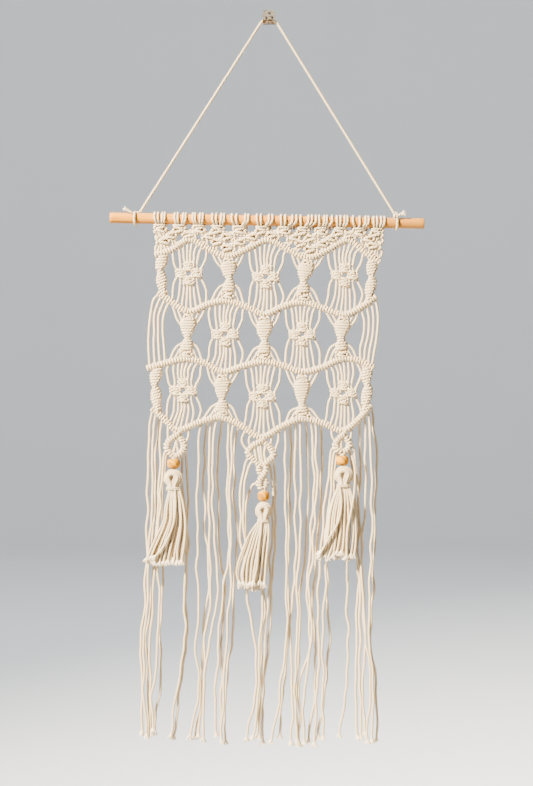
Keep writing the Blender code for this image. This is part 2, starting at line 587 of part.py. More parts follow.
def material(name):
    """Principled material from its row of looks."""
    colour, roughness, metallic = LOOKS[name]
    made = bpy.data.materials.new(name)
    made.use_nodes = True
    shader = made.node_tree.nodes["Principled BSDF"]
    shader.inputs["Base Color"].default_value = (*colour, 1.0)
    shader.inputs["Roughness"].default_value = roughness
    shader.inputs["Metallic"].default_value = metallic
    return made


def keep(obj, name, look):
    """Name a finished piece, give it its material and put it among the parts."""
    obj.name = name
    obj.data.name = name
    obj.data.materials.append(materials[look])
    for collection in list(obj.users_collection):
        collection.objects.unlink(obj)
    parts.objects.link(obj)
    obj.parent = root
    return obj


def helper(obj, name):
    """Hide an object that only shapes another one."""
    obj.name = name
    obj.hide_render = True
    obj.display_type = "WIRE"
    for collection in list(obj.users_collection):
        collection.objects.unlink(obj)
    helpers.objects.link(obj)
    return obj


def built(build, *arguments):
    """Object whose mesh is filled by a build function."""
    bm = bmesh.new()
    build(bm, *arguments)
    bmesh.ops.recalc_face_normals(bm, faces=bm.faces)
    mesh = bpy.data.meshes.new("built")
    bm.to_mesh(mesh)
    bm.free()
    obj = bpy.data.objects.new("built", mesh)
    bpy.context.scene.collection.objects.link(obj)
    return obj


def combine(base, other, name, operation="UNION", solver="EXACT"):
    """Join a helper to the base, or cut it from the base."""
    modifier = base.modifiers.new(name, "BOOLEAN")
    modifier.operation = operation
    modifier.solver = solver
    modifier.object = helper(other, name)


def poly_curve(runs, cyclic=False):
    """Curve of straight-sided splines, each run a list of (place, radius) in millimetres."""
    curve = bpy.data.curves.new("curve", "CURVE")
    for run in runs:
        spline = curve.splines.new("POLY")
        spline.points.add(len(run) - 1)
        spline.use_cyclic_u = cyclic
        for point, (place, radius) in zip(spline.points, run):
            point.co = (*(Vector(place) * MM), 1.0)
            point.radius = radius
    obj = bpy.data.objects.new("curve", curve)
    bpy.context.scene.collection.objects.link(obj)
    return obj


def round_cord(run, resolution):
    """Round cord along one run of points."""
    obj = poly_curve([run])
    obj.data.dimensions = "3D"
    obj.data.bevel_depth = CORD_RADIUS * MM
    obj.data.bevel_resolution = resolution
    obj.data.use_fill_caps = True
    return obj


def flat_sheet(runs, thickness):
    """Flat outline with its holes, thickened evenly about its plane."""
    obj = poly_curve(runs, cyclic=True)
    obj.data.dimensions = "2D"
    obj.data.fill_mode = "BOTH"
    obj.data.extrude = 0.5 * thickness * MM
    return obj


def meshed(holder):
    """Closed mesh object in place of a curve."""
    bpy.context.view_layer.update()
    graph = bpy.context.evaluated_depsgraph_get()
    mesh = bpy.data.meshes.new_from_object(holder.evaluated_get(graph))
    bm = bmesh.new()
    bm.from_mesh(mesh)
    bmesh.ops.remove_doubles(bm, verts=bm.verts, dist=0.001 * MM)
    bmesh.ops.recalc_face_normals(bm, faces=bm.faces)
    bm.to_mesh(mesh)
    bm.free()
    obj = bpy.data.objects.new("meshed", mesh)
    bpy.context.scene.collection.objects.link(obj)
    obj.matrix_world = holder.matrix_world
    bpy.data.objects.remove(holder)
    return obj


def net_bars(bm):
    for rows in BARS[:3]:
        bar(bm, rows)


def net_knots(bm):
    for knot_x, _, _ in TOP_KNOTS:
        top_knot(bm, knot_x)
    for _, _, x, z in FLOWERS:
        flower_ring(bm, x, z)
    for index, first, x, z in HOURGLASSES:
        hourglass_body(bm, BARS[index], BARS[index + 1], first, x, z)
    for index, first, x, z in EDGE_MOTIFS:
        edge_body(bm, BARS[index], BARS[index + 1], first, x, z)


def net_strands(bm):
    for knot_x, left_x, right_x in TOP_KNOTS:
        rod_loop(bm, knot_x, left_x, -1.0)
        rod_loop(bm, knot_x, right_x, 1.0)
    for index, first, x, z in FLOWERS:
        flower_strands(bm, BARS[index], BARS[index + 1], first, x, z)
    for index, first, x, z in HOURGLASSES:
        hourglass_strands(bm, BARS[index], BARS[index + 1], first, x, z)
    for number, *places in LOOSE_STRANDS:
        points = [bar_point(BARS[1], number + 0.5, -STRAND_ROOT)]
        points += [cloth(x, z) for x, z in places]
        points.append(bar_point(BARS[2], number + 0.5, STRAND_ROOT))
        strand(bm, points)


def fringe_rings(bm):
    for pendant in PENDANTS:
        pendant_ring(bm, pendant)


def fringe_knots(bm):
    for pendant in PENDANTS:
        crossing_knot(bm, pendant)
    skin(bm, [upright(CENTRE_KNOT_X, *section) for section in CENTRE_KNOT], BOX)


def fringe_cords(bm):
    fringe_strands(bm)
    for number, bend_x, bend_z, end_x, end_z in CORNER_STRANDS:
        strand(bm, [bar_point(FRINGE_BAR, number, -STRAND_ROOT), cloth(bend_x, bend_z),
                    cloth(end_x, end_z)])
    for index, top_x, foot_x, half_width in DIAMOND_STRANDS:
        pendant = PENDANTS[index]
        skin(bm, [upright(top_x, pendant.top_z, half_width, STRAND_RADIUS),
                  upright(foot_x, pendant.foot_z, half_width, STRAND_RADIUS)], BOX)


def fringe_stems(bm):
    roots = (cloth(PENDANTS[0].foot_x, PENDANTS[0].foot_z),
             cloth(CENTRE_KNOT_X, CENTRE_KNOT[-1][0] + 3.0),
             cloth(PENDANTS[2].foot_x, PENDANTS[2].foot_z))
    for bead, place in zip(BEADS, roots):
        stem(bm, bead, place)


def make_rod():
    """Round rod with chamfered ends, falling a little to the right."""
    bpy.ops.mesh.primitive_cylinder_add(
        vertices=ROD_SIDES, radius=ROD_RADIUS * MM, depth=ROD_LENGTH * MM,
        location=ROD_CENTRE * MM, rotation=(0.0, math.radians(90) + math.atan(ROD_FALL), 0.0))
    rod = keep(bpy.context.object, "rod", "rod_wood")
    chamfer = rod.modifiers.new("chamfer", "BEVEL")
    chamfer.width = ROD_CHAMFER * MM
    chamfer.segments = 1
    chamfer.limit_method = "ANGLE"
    chamfer.angle_limit = math.radians(60)
    rod.data.shade_smooth()
    rod.data.set_sharp_from_angle(angle=SMOOTH_ANGLE)


def make_bead(bead):
    """Turned barrel with a bore."""
    profile = [(reach * bead.radius, part * bead.half_height) for part, reach in BEAD_PROFILE]
    profile += [(BORE_RADIUS, -bead.half_height), (BORE_RADIUS, bead.half_height)]
    mesh = bpy.data.meshes.new(bead.name)
    edges = [(index, (index + 1) % len(profile)) for index in range(len(profile))]
    mesh.from_pydata([(radius * MM, 0.0, height * MM) for radius, height in profile], edges, [])
    obj = bpy.data.objects.new(bead.name, mesh)
    bpy.context.scene.collection.objects.link(obj)
    obj.location = Vector((bead.x, BEAD_Y, bead.z)) * MM
    turned = obj.modifiers.new("turned", "SCREW")
    turned.steps = BEAD_STEPS
    turned.render_steps = BEAD_STEPS
    turned.use_merge_vertices = True
    turned.merge_threshold = 0.001 * MM
    turned.use_smooth_shade = True
    keep(obj, bead.name, "bead_wood")


def make_tie(tie):
    """One turn of cord round the rod with its knot and free tail."""
    middle_x = 0.5 * (tie.front_x + tie.back_x)
    lean = math.asin(0.5 * (tie.front_x - tie.back_x) / WRAP_RADIUS)
    bpy.ops.mesh.primitive_torus_add(
        major_segments=WRAP_STEPS, minor_segments=WRAP_SIDES,
        major_radius=WRAP_RADIUS * MM, minor_radius=CORD_RADIUS * MM,
        location=Vector((middle_x, ROD_CENTRE.y, rod_z(middle_x))) * MM,
        rotation=(0.0, math.radians(90), lean))
    wrap = keep(bpy.context.object, tie.name, "cotton_cord")
    bpy.ops.mesh.primitive_uv_sphere_add(
        segments=KNOT_STEPS, ring_count=KNOT_RINGS, radius=MM, location=Vector(tie.knot_at) * MM,
        rotation=(0.0, math.radians(tie.knot_turn), 0.0), scale=tie.knot_size)
    combine(wrap, bpy.context.object, tie.name + "_knot")
    radii = [1.0] * (len(tie.tail) - 1) + [TAIL_FLARE]
    tail = meshed(round_cord(list(zip(tie.tail, radii)), 1))
    combine(wrap, tail, tie.name + "_tail")


def make_tassel(tassel):
    """Head with its skirt of locks."""
    whole = keep(built(tassel_head, tassel), tassel.name, "cotton_cord")
    combine(whole, built(tassel_locks, tassel), tassel.name + "_locks")


def arc(centre_x, centre_z, radius, first, last, steps):
    """Points along an arc, angles in degrees."""
    turns = [math.radians(first + (last - first) * index / steps) for index in range(steps + 1)]
    return [(centre_x + radius * math.cos(turn), centre_z + radius * math.sin(turn))
            for turn in turns]


def make_hook():
    """Flat plate with three nail holes, and the fold and lip that hold the cord."""
    inner = HOOK_HALF_WIDTH - HOOK_CORNER
    corner_z = HOOK_TOP - HOOK_CORNER
    outline = [(-HOOK_HALF_WIDTH, HOOK_BOTTOM), (HOOK_HALF_WIDTH, HOOK_BOTTOM)]
    outline += arc(inner, corner_z, HOOK_CORNER, 0, 90, 3)
    outline += arc(-inner, corner_z, HOOK_CORNER, 90, 180, 3)
    runs = [outline]
    for x, z in NAIL_HOLES:
        runs.append(arc(x, z, NAIL_HOLE_RADIUS, 0, 360, NAIL_HOLE_SIDES)[:-1])
    plate = flat_sheet([[((x, z, 0.0), 1.0) for x, z in run] for run in runs], HOOK_THICKNESS)
    plate.rotation_euler = (math.radians(90), 0.0, 0.0)
    plate.location = Vector((0.0, -0.5 * HOOK_THICKNESS, 0.0)) * MM
    hook = keep(meshed(plate), "hook", "hook_steel")

    middle_y = -0.5 * HOOK_THICKNESS
    inside_y, outside_y = HOOK_LIP_Y
    profile = ((middle_y, HOOK_FOLD_BOTTOM), (outside_y + HOOK_SLOPE, HOOK_FOLD_BOTTOM),
               (outside_y, HOOK_FOLD_BOTTOM + HOOK_SLOPE), (outside_y, HOOK_LIP_TOP),
               (inside_y, HOOK_LIP_TOP), (inside_y, HOOK_FOLD_INSIDE),
               (middle_y, HOOK_FOLD_INSIDE))
    fold = flat_sheet([[((y, z, 0.0), 1.0) for y, z in profile]], 2.0 * HOOK_FOLD_REACH)
    fold.rotation_euler = (math.radians(90), 0.0, math.radians(90))
    combine(hook, meshed(fold), "hook_fold")


def make_hanging_cord():
    """Round cord from the left tie over the hook to the right tie."""
    bend = [Vector((x, CORD_Y, z)) for x, z in HOOK_BEND]
    left = [Vector((-place.x, CORD_Y, place.z)) for place in reversed(bend)]
    points = [CORD_LEFT_END] + left + bend + [CORD_RIGHT_END]
    cord = round_cord([(place, 1.0) for place in points], 2)
    keep(cord, "hanging_cord", "cotton_cord")


for startup in list(bpy.data.objects):
    bpy.data.objects.remove(startup)
parts = bpy.data.collections.new("macrame_wall_hanging")
helpers = bpy.data.collections.new("helpers")
bpy.context.scene.collection.children.link(parts)
bpy.context.scene.collection.children.link(helpers)
root = bpy.data.objects.new("macrame_wall_hanging_root", None)
parts.objects.link(root)
materials = {name: material(name) for name in LOOKS}

net = keep(built(net_bars), "net", "cotton_cord")
combine(net, built(net_knots), "net_knots")
combine(net, built(band), "net_band")
combine(net, built(net_strands), "net_strands")
# the exact solver leaves open edges on this cut's slivers
combine(net, built(bar, FRINGE_BAR, CLEARANCE), "net_cut", "DIFFERENCE", "MANIFOLD")

fringe = keep(built(bar, FRINGE_BAR), "fringe", "cotton_cord")
combine(fringe, built(fringe_rings), "fringe_rings")
combine(fringe, built(fringe_knots), "fringe_knots")
combine(fringe, built(fringe_cords), "fringe_cords")
combine(fringe, built(fringe_stems), "fringe_stems")

make_rod()
for bead in BEADS:
    make_bead(bead)
for tassel in TASSELS:
    make_tassel(tassel)
for tie in TIES:
    make_tie(tie)
make_hook()
make_hanging_cord()
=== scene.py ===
"""Looks of the macrame wall hanging: its cotton cord, knots, fringe, tassels, beads, rod and hook.

Sizes are in millimetres and are scaled to metres where the meshes are made. The origin is
the middle of the hook's back face, +X is right, +Z is up, and the hanging is in front of the
plane y = 0. Forty-eight strands, numbered from the left, hang from the rod, and strand i
crosses each knotted bar at i + 0.5.
"""
import json
import math
import random

import bmesh
import bpy
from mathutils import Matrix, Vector, noise

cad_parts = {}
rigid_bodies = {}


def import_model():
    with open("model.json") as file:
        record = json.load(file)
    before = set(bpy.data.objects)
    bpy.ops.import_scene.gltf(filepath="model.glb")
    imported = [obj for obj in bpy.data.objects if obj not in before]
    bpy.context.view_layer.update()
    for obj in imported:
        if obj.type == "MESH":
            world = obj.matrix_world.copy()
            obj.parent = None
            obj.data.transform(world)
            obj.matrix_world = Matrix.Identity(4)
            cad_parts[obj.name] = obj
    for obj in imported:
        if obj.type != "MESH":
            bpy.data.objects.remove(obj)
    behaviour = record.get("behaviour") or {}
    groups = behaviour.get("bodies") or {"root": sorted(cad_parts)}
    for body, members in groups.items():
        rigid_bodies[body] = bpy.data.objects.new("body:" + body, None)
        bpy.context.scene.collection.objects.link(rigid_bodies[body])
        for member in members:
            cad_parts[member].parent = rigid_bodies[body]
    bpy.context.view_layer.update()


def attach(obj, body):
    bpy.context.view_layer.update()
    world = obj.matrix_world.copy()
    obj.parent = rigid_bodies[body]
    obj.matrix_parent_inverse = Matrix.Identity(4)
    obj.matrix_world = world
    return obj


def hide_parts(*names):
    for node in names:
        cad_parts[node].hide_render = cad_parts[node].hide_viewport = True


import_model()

MM = 0.001
RIGHT = Vector((1.0, 0.0, 0.0))
FRONT = Vector((0.0, -1.0, 0.0))
BACK = -FRONT
UP = Vector((0.0, 0.0, 1.0))

# Cord, rod and cloth
CORD_RADIUS = 1.45
HANGING_CORD_RADIUS = 1.5
ROD_RADIUS = 6.0
ROD_LENGTH = 355.0
ROD_CENTRE = Vector((-2.2, -11.0, -232.3))
ROD_FALL = 0.0184
CLOTH_Y = -10.0


def rod_z(x):
    """Height of the rod's axis at x."""
    return ROD_CENTRE.z - ROD_FALL * (x - ROD_CENTRE.x)


def cloth(x, z, toward=0.0):
    """Place in the cloth's plane, or that far in front of it."""
    return Vector((x, CLOTH_Y - toward, z))


# ---------------------------------------------------------------- node helpers

def add(tree, kind, values=None, **settings):
    """Add a node with its settings, and link or set each of its inputs."""
    node = tree.nodes.new(kind)
    for name, setting in settings.items():
        setattr(node, name, setting)
    for key, value in (values or {}).items():
        socket = node.inputs[key]
        if isinstance(value, bpy.types.NodeSocket):
            tree.links.new(value, socket)
        else:
            socket.default_value = value
    return node


def linear(hex_colour):
    """Linear colour of an sRGB hex value."""
    channels = [int(hex_colour[start:start + 2], 16) / 255.0 for start in (0, 2, 4)]
    return [c / 12.92 if c <= 0.04045 else ((c + 0.055) / 1.055) ** 2.4
            for c in channels] + [1.0]


# ---------------------------------------------------------------- materials

PLIES = 3


def new_material(name):
    """Material with its Principled shader, output and tree."""
    made = bpy.data.materials.new(name)
    made.use_nodes = True
    tree = made.node_tree
    return made, tree, tree.nodes["Principled BSDF"]


def cotton(name, crest, groove_shade, lay_mm):
    """Three-ply laid cotton: matt, with a soft fuzz and slanting grooves between its plies that
    hold painted shade.
    """
    made, tree, shader = new_material(name)
    lay = add(tree, "ShaderNodeAttribute", attribute_name="lay", attribute_type="GEOMETRY")
    split = add(tree, "ShaderNodeSeparateXYZ", {0: lay.outputs["Vector"]})
    around = add(tree, "ShaderNodeMath", {0: split.outputs["Y"], 1: split.outputs["X"]},
                 operation="ARCTAN2")
    # a crown for each ply: the pattern has half a wave from one gap between plies to the next
    ply = add(tree, "ShaderNodeMath", {0: around.outputs[0], 1: 0.5 * PLIES},
              operation="MULTIPLY")
    run = add(tree, "ShaderNodeMath",
              {0: split.outputs["Z"], 1: PLIES * math.pi / (lay_mm * MM), 2: ply.outputs[0]},
              operation="MULTIPLY_ADD")
    wave = add(tree, "ShaderNodeMath", {0: run.outputs[0]}, operation="COSINE")
    crown = add(tree, "ShaderNodeMath", {0: wave.outputs[0]}, operation="ABSOLUTE")
    round_crown = add(tree, "ShaderNodeMath", {0: crown.outputs[0], 1: 0.7}, operation="POWER")
    # fibres 1/2.2 mm across, coarser than real ones so that they show
    place = add(tree, "ShaderNodeTexCoord")
    fuzz = add(tree, "ShaderNodeTexNoise",
               {"Vector": place.outputs["Object"], "Scale": 2.2 / MM, "Detail": 3.0,
                "Roughness": 0.65})
    # slow unevenness of the natural colour, over about 30 mm
    patch = add(tree, "ShaderNodeTexNoise",
                {"Vector": place.outputs["Object"], "Scale": 0.035 / MM, "Detail": 2.0})
    depth = add(tree, "ShaderNodeMapRange",
                {"Value": round_crown.outputs[0], "From Min": 0.1, "From Max": 0.75})
    # painted shade: the places between the plies take the darker second colour, the crowns the
    # crest colour
    plies = add(tree, "ShaderNodeMix",
                {0: depth.outputs[0], 6: linear(groove_shade), 7: linear(crest)},
                data_type="RGBA")
    dull = add(tree, "ShaderNodeMapRange",
               {"Value": patch.outputs["Fac"], "From Min": 0.35, "From Max": 0.7,
                "To Min": 0.0, "To Max": 0.35})
    tinted = add(tree, "ShaderNodeMix",
                 {0: dull.outputs[0], 6: plies.outputs[2], 7: linear("CEB68A")},
                 data_type="RGBA")
    tree.links.new(tinted.outputs[2], shader.inputs["Base Color"])
    raised = add(tree, "ShaderNodeMath",
                 {0: fuzz.outputs["Fac"], 1: 0.22, 2: round_crown.outputs[0]},
                 operation="MULTIPLY_ADD")
    bump = add(tree, "ShaderNodeBump",
               {"Strength": 1.0, "Distance": 0.55 * MM, "Height": raised.outputs[0]})
    tree.links.new(bump.outputs[0], shader.inputs["Normal"])
    shader.inputs["Roughness"].default_value = 0.92
    shader.inputs["Specular IOR Level"].default_value = 0.2
    return made


def loose_fibres(name, shade, light):
    """Unlaid cotton at a cut end: soft, matt and a little paler than the cord."""
    made, tree, shader = new_material(name)
    place = add(tree, "ShaderNodeTexCoord")
    # locks of fibre about 1 mm across
    locks = add(tree, "ShaderNodeTexNoise",
                {"Vector": place.outputs["Object"], "Scale": 0.9 / MM, "Detail": 3.0})
    colour = add(tree, "ShaderNodeMix",
                 {0: locks.outputs["Fac"], 6: linear(shade), 7: linear(light)},
                 data_type="RGBA")
    tree.links.new(colour.outputs[2], shader.inputs["Base Color"])
    bump = add(tree, "ShaderNodeBump",
               {"Strength": 0.7, "Distance": 0.3 * MM, "Height": locks.outputs["Fac"]})
    tree.links.new(bump.outputs[0], shader.inputs["Normal"])
    shader.inputs["Roughness"].default_value = 0.95
    shader.inputs["Specular IOR Level"].default_value = 0.1
    return made


def beech(name):
    """Sanded beech dowel: warm, straight-grained and half matt, with short darker flecks."""
    made, tree, shader = new_material(name)
    place = add(tree, "ShaderNodeTexCoord")
    # long grain along the dowel: streaks about 2 mm wide and 60 mm long
    along = add(tree, "ShaderNodeMapping",
                {"Vector": place.outputs["Object"], "Rotation": (0.0, ROD_FALL, 0.0),
                 "Scale": (0.016 / MM, 0.52 / MM, 0.52 / MM)})
    grain = add(tree, "ShaderNodeTexNoise",
                {"Vector": along.outputs[0], "Scale": 1.0, "Detail": 4.0, "Roughness": 0.6})
    # flecks about 0.6 mm wide and 3 mm long
    short = add(tree, "ShaderNodeMapping",
                {"Vector": place.outputs["Object"], "Scale": (0.3 / MM, 1.7 / MM, 1.7 / MM)})
    flecks = add(tree, "ShaderNodeTexNoise",
                 {"Vector": short.outputs[0], "Scale": 1.0, "Detail": 1.0})
    tone = add(tree, "ShaderNodeValToRGB", {"Fac": grain.outputs["Fac"]})
    tone.color_ramp.elements[0].position = 0.3
    tone.color_ramp.elements[0].color = linear("A0600C")
    tone.color_ramp.elements[1].position = 0.7
    tone.color_ramp.elements[1].color = linear("D48E18")
    fleck = add(tree, "ShaderNodeMapRange",
                {"Value": flecks.outputs["Fac"], "From Min": 0.62, "From Max": 0.72,
                 "To Min": 0.0, "To Max": 0.45})
    colour = add(tree, "ShaderNodeMix",
                 {0: fleck.outputs[0], 6: tone.outputs["Color"], 7: linear("8F5524")},
                 data_type="RGBA")
    # darker and browner towards the right end
    split = add(tree, "ShaderNodeSeparateXYZ", {0: place.outputs["Object"]})
    right_end_share = add(tree, "ShaderNodeMapRange",
               {"Value": split.outputs["X"], "From Min": -100.0 * MM, "From Max": 170.0 * MM,
                "To Min": 0.0, "To Max": 0.6})
    right_end_tone = add(tree, "ShaderNodeMix",
                  {0: right_end_share.outputs[0], 6: colour.outputs[2], 7: linear("9C6A24")},
                  data_type="RGBA")
    tree.links.new(right_end_tone.outputs[2], shader.inputs["Base Color"])
    bump = add(tree, "ShaderNodeBump",
               {"Strength": 0.35, "Distance": 0.15 * MM, "Height": grain.outputs["Fac"]})
    tree.links.new(bump.outputs[0], shader.inputs["Normal"])
    rough = add(tree, "ShaderNodeMapRange",
                {"Value": grain.outputs["Fac"], "To Min": 0.5, "To Max": 0.68})
    tree.links.new(rough.outputs[0], shader.inputs["Roughness"])
    shader.inputs["Specular IOR Level"].default_value = 0.25
    return made


def bead_wood(name):
    """Turned hardwood bead, raw and matt: rings of grain and a sanded speckle."""
    made, tree, shader = new_material(name)
    place = add(tree, "ShaderNodeTexCoord")
    # growth rings about 2 mm apart, bent by a slow noise
    rings = add(tree, "ShaderNodeTexWave",
                {"Vector": place.outputs["Object"], "Scale": 0.085 / MM, "Distortion": 6.0,
                 "Detail": 3.0, "Detail Scale": 1.5},
                wave_type="BANDS", bands_direction="DIAGONAL")
    # sanded pores about 0.7 mm across
    speckle = add(tree, "ShaderNodeTexNoise",
                  {"Vector": place.outputs["Object"], "Scale": 1.5 / MM, "Detail": 3.0})
    tone = add(tree, "ShaderNodeMix",
               {0: rings.outputs["Fac"], 6: linear("9A6400"), 7: linear("CE8E04")},
               data_type="RGBA")
    pore = add(tree, "ShaderNodeMapRange",
               {"Value": speckle.outputs["Fac"], "From Min": 0.5, "From Max": 0.7,
                "To Min": 0.0, "To Max": 0.7})
    colour = add(tree, "ShaderNodeMix",
                 {0: pore.outputs[0], 6: tone.outputs[2], 7: linear("6C420A")},
                 data_type="RGBA")
    tree.links.new(colour.outputs[2], shader.inputs["Base Color"])
    bump = add(tree, "ShaderNodeBump",
               {"Strength": 0.4, "Distance": 0.2 * MM, "Height": speckle.outputs["Fac"]})
    tree.links.new(bump.outputs[0], shader.inputs["Normal"])
    shader.inputs["Roughness"].default_value = 0.7
    shader.inputs["Specular IOR Level"].default_value = 0.2
    return made


# heights between which the hook's plate turns into its lip
LIP_TOP_Z = -3.0
LIP_FOLD_Z = -4.5


def plated_steel(name):
    """Stamped steel with a nickel plate worn through to brass in spots, and fine scratches."""
    made, tree, shader = new_material(name)
    place = add(tree, "ShaderNodeTexCoord")
    # worn spots about 3 mm across
    spots = add(tree, "ShaderNodeTexNoise",
                {"Vector": place.outputs["Object"], "Scale": 0.38 / MM, "Detail": 4.0,
                 "Roughness": 0.7})
    # the lip that the cord rubs has lost most of its plate
    height = add(tree, "ShaderNodeSeparateXYZ", {0: place.outputs["Object"]})
    rubbed = add(tree, "ShaderNodeMapRange",
                 {"Value": height.outputs["Z"], "From Min": LIP_TOP_Z * MM,
                  "From Max": LIP_FOLD_Z * MM, "To Max": 0.12})
    wear = add(tree, "ShaderNodeMath", {0: spots.outputs["Fac"], 1: rubbed.outputs[0]},
               operation="ADD")
    worn = add(tree, "ShaderNodeMapRange",
               {"Value": wear.outputs[0], "From Min": 0.49, "From Max": 0.63})
    colour = add(tree, "ShaderNodeMix",
                 {0: worn.outputs[0], 6: linear("B6AD9B"), 7: linear("5A3C16")},
                 data_type="RGBA")
    tree.links.new(colour.outputs[2], shader.inputs["Base Color"])
    # scratches about 0.3 mm wide and 3 mm long
    across = add(tree, "ShaderNodeMapping",
                 {"Vector": place.outputs["Object"], "Rotation": (0.0, 0.5, 0.0),
                  "Scale": (0.3 / MM, 0.3 / MM, 4.0 / MM)})
    scratches = add(tree, "ShaderNodeTexNoise",
                    {"Vector": across.outputs[0], "Scale": 1.0, "Detail": 2.0})
    bump = add(tree, "ShaderNodeBump",
               {"Strength": 0.25, "Distance": 0.1 * MM, "Height": scratches.outputs["Fac"]})
    # shallow dents from the hammer, in the worn spots
    dented = add(tree, "ShaderNodeBump",
                 {"Strength": 0.6, "Distance": 0.5 * MM, "Height": spots.outputs["Fac"],
                  "Normal": bump.outputs[0]})
    tree.links.new(dented.outputs[0], shader.inputs["Normal"])
    rough = add(tree, "ShaderNodeMapRange",
                {"Value": spots.outputs["Fac"], "To Min": 0.28, "To Max": 0.55})
    tree.links.new(rough.outputs[0], shader.inputs["Roughness"])
    shader.inputs["Metallic"].default_value = 1.0
    return made


def nail_shade_steel(name, dark, lighter_shade):
    """Near-black matt nail steel with no shine, its two dark tones painted shade of the holes it
    sits in.
    """
    made, tree, shader = new_material(name)
    place = add(tree, "ShaderNodeTexCoord")
    # grains about 0.8 mm across, mixing the two painted shade tones
    shade_grain = add(tree, "ShaderNodeTexNoise",
               {"Vector": place.outputs["Object"], "Scale": 1.2 / MM, "Detail": 3.0})
    colour = add(tree, "ShaderNodeMix",
                 {0: shade_grain.outputs["Fac"], 6: linear(dark), 7: linear(lighter_shade)},
                 data_type="RGBA")
    tree.links.new(colour.outputs[2], shader.inputs["Base Color"])
    shader.inputs["Roughness"].default_value = 0.7
    return made


def painted_floor(name):
    """Matt painted studio floor, with a faint roller texture."""
    made, tree, shader = new_material(name)
    place = add(tree, "ShaderNodeTexCoord")
    # patches about 330 mm across
    roller = add(tree, "ShaderNodeTexNoise",
                 {"Vector": place.outputs["Object"], "Scale": 0.003 / MM, "Detail": 2.0})
    colour = add(tree, "ShaderNodeMix",
                 {0: roller.outputs["Fac"], 6: linear("D9DCDF"), 7: linear("DFE1E3")},
                 data_type="RGBA")
    tree.links.new(colour.outputs[2], shader.inputs["Base Color"])
    shader.inputs["Roughness"].default_value = 0.9
    return made


# the third value is painted shade: the colour of the grooves between the plies
COTTON = cotton("cotton_cord_natural", "DDC79F", "7A5C36", 9.5)
FIBRES = loose_fibres("cotton_fibres_loose", "CDB68E", "F0E2C6")
BEECH = beech("beech_dowel_sanded")
BEAD_WOOD = bead_wood("turned_bead_raw")
STEEL = plated_steel("nickel_plate_worn")
# near-black nail heads: painted shade of the plate's holes
NAIL_SHADE = nail_shade_steel("nail_steel_browned", "120A04", "241407")
FLOOR = painted_floor("studio_paint")


# ---------------------------------------------------------------- geometry node trees

def group_with(name, inputs):
    """Node group with its geometry sockets and its named inputs."""
    tree = bpy.data.node_groups.new(name, "GeometryNodeTree")
    tree.interface.new_socket("Geometry", in_out="INPUT", socket_type="NodeSocketGeometry")
    for label, kind, value in inputs:
        socket = tree.interface.new_socket(label, in_out="INPUT", socket_type="NodeSocket" + kind)
        if value is not None:
            socket.default_value = value
    tree.interface.new_socket("Geometry", in_out="OUTPUT", socket_type="NodeSocketGeometry")
    return tree, tree.nodes.new("NodeGroupInput").outputs


def even_curve(tree, given, step):
    """The given curve made smooth, with points a step apart."""
    smooth = add(tree, "GeometryNodeCurveSplineType", {"Curve": given["Geometry"]},
                 spline_type="CATMULL_ROM")
    even = add(tree, "GeometryNodeResampleCurve",
               {"Curve": smooth.outputs[0], "Length": step}, mode="LENGTH")
    return even.outputs[0]


def finish_cord(tree, given, curve, radius):
    """Skin a round cord on the curve, with its lay stored as (cos, sin, length)."""
    along = add(tree, "GeometryNodeSplineParameter")
    curve_lay = add(tree, "GeometryNodeStoreNamedAttribute",
                    {"Geometry": curve, "Name": "along", "Value": along.outputs["Length"]},
                    data_type="FLOAT", domain="POINT")
    circle = add(tree, "GeometryNodeCurvePrimitiveCircle",
                 {"Resolution": given["Sides"], "Radius": 1.0})
    place = add(tree, "GeometryNodeInputPosition")
    profile = add(tree, "GeometryNodeStoreNamedAttribute",
                  {"Geometry": circle.outputs["Curve"], "Name": "around",
                   "Value": place.outputs[0]}, data_type="FLOAT_VECTOR", domain="POINT")
    skin = add(tree, "GeometryNodeCurveToMesh",
               {"Curve": curve_lay.outputs[0], "Profile Curve": profile.outputs[0],
                "Scale": radius, "Fill Caps": True})
    around = add(tree, "GeometryNodeInputNamedAttribute", {"Name": "around"},
                 data_type="FLOAT_VECTOR")
    length = add(tree, "GeometryNodeInputNamedAttribute", {"Name": "along"}, data_type="FLOAT")
    split = add(tree, "ShaderNodeSeparateXYZ", {0: around.outputs[0]})
    lay = add(tree, "ShaderNodeCombineXYZ",
              {0: split.outputs[0], 1: split.outputs[1], 2: length.outputs[0]})
    stored = add(tree, "GeometryNodeStoreNamedAttribute",
                 {"Geometry": skin.outputs[0], "Name": "lay", "Value": lay.outputs[0]},
                 data_type="FLOAT_VECTOR", domain="POINT")
    smooth = add(tree, "GeometryNodeSetShadeSmooth", {"Geometry": stored.outputs[0]})
    real = add(tree, "GeometryNodeRealizeInstances", {"Geometry": smooth.outputs[0]})
    dressed = add(tree, "GeometryNodeSetMaterial",
                  {"Geometry": real.outputs[0], "Material": given["Material"]})
    add(tree, "NodeGroupOutput", {"Geometry": dressed.outputs[0]})


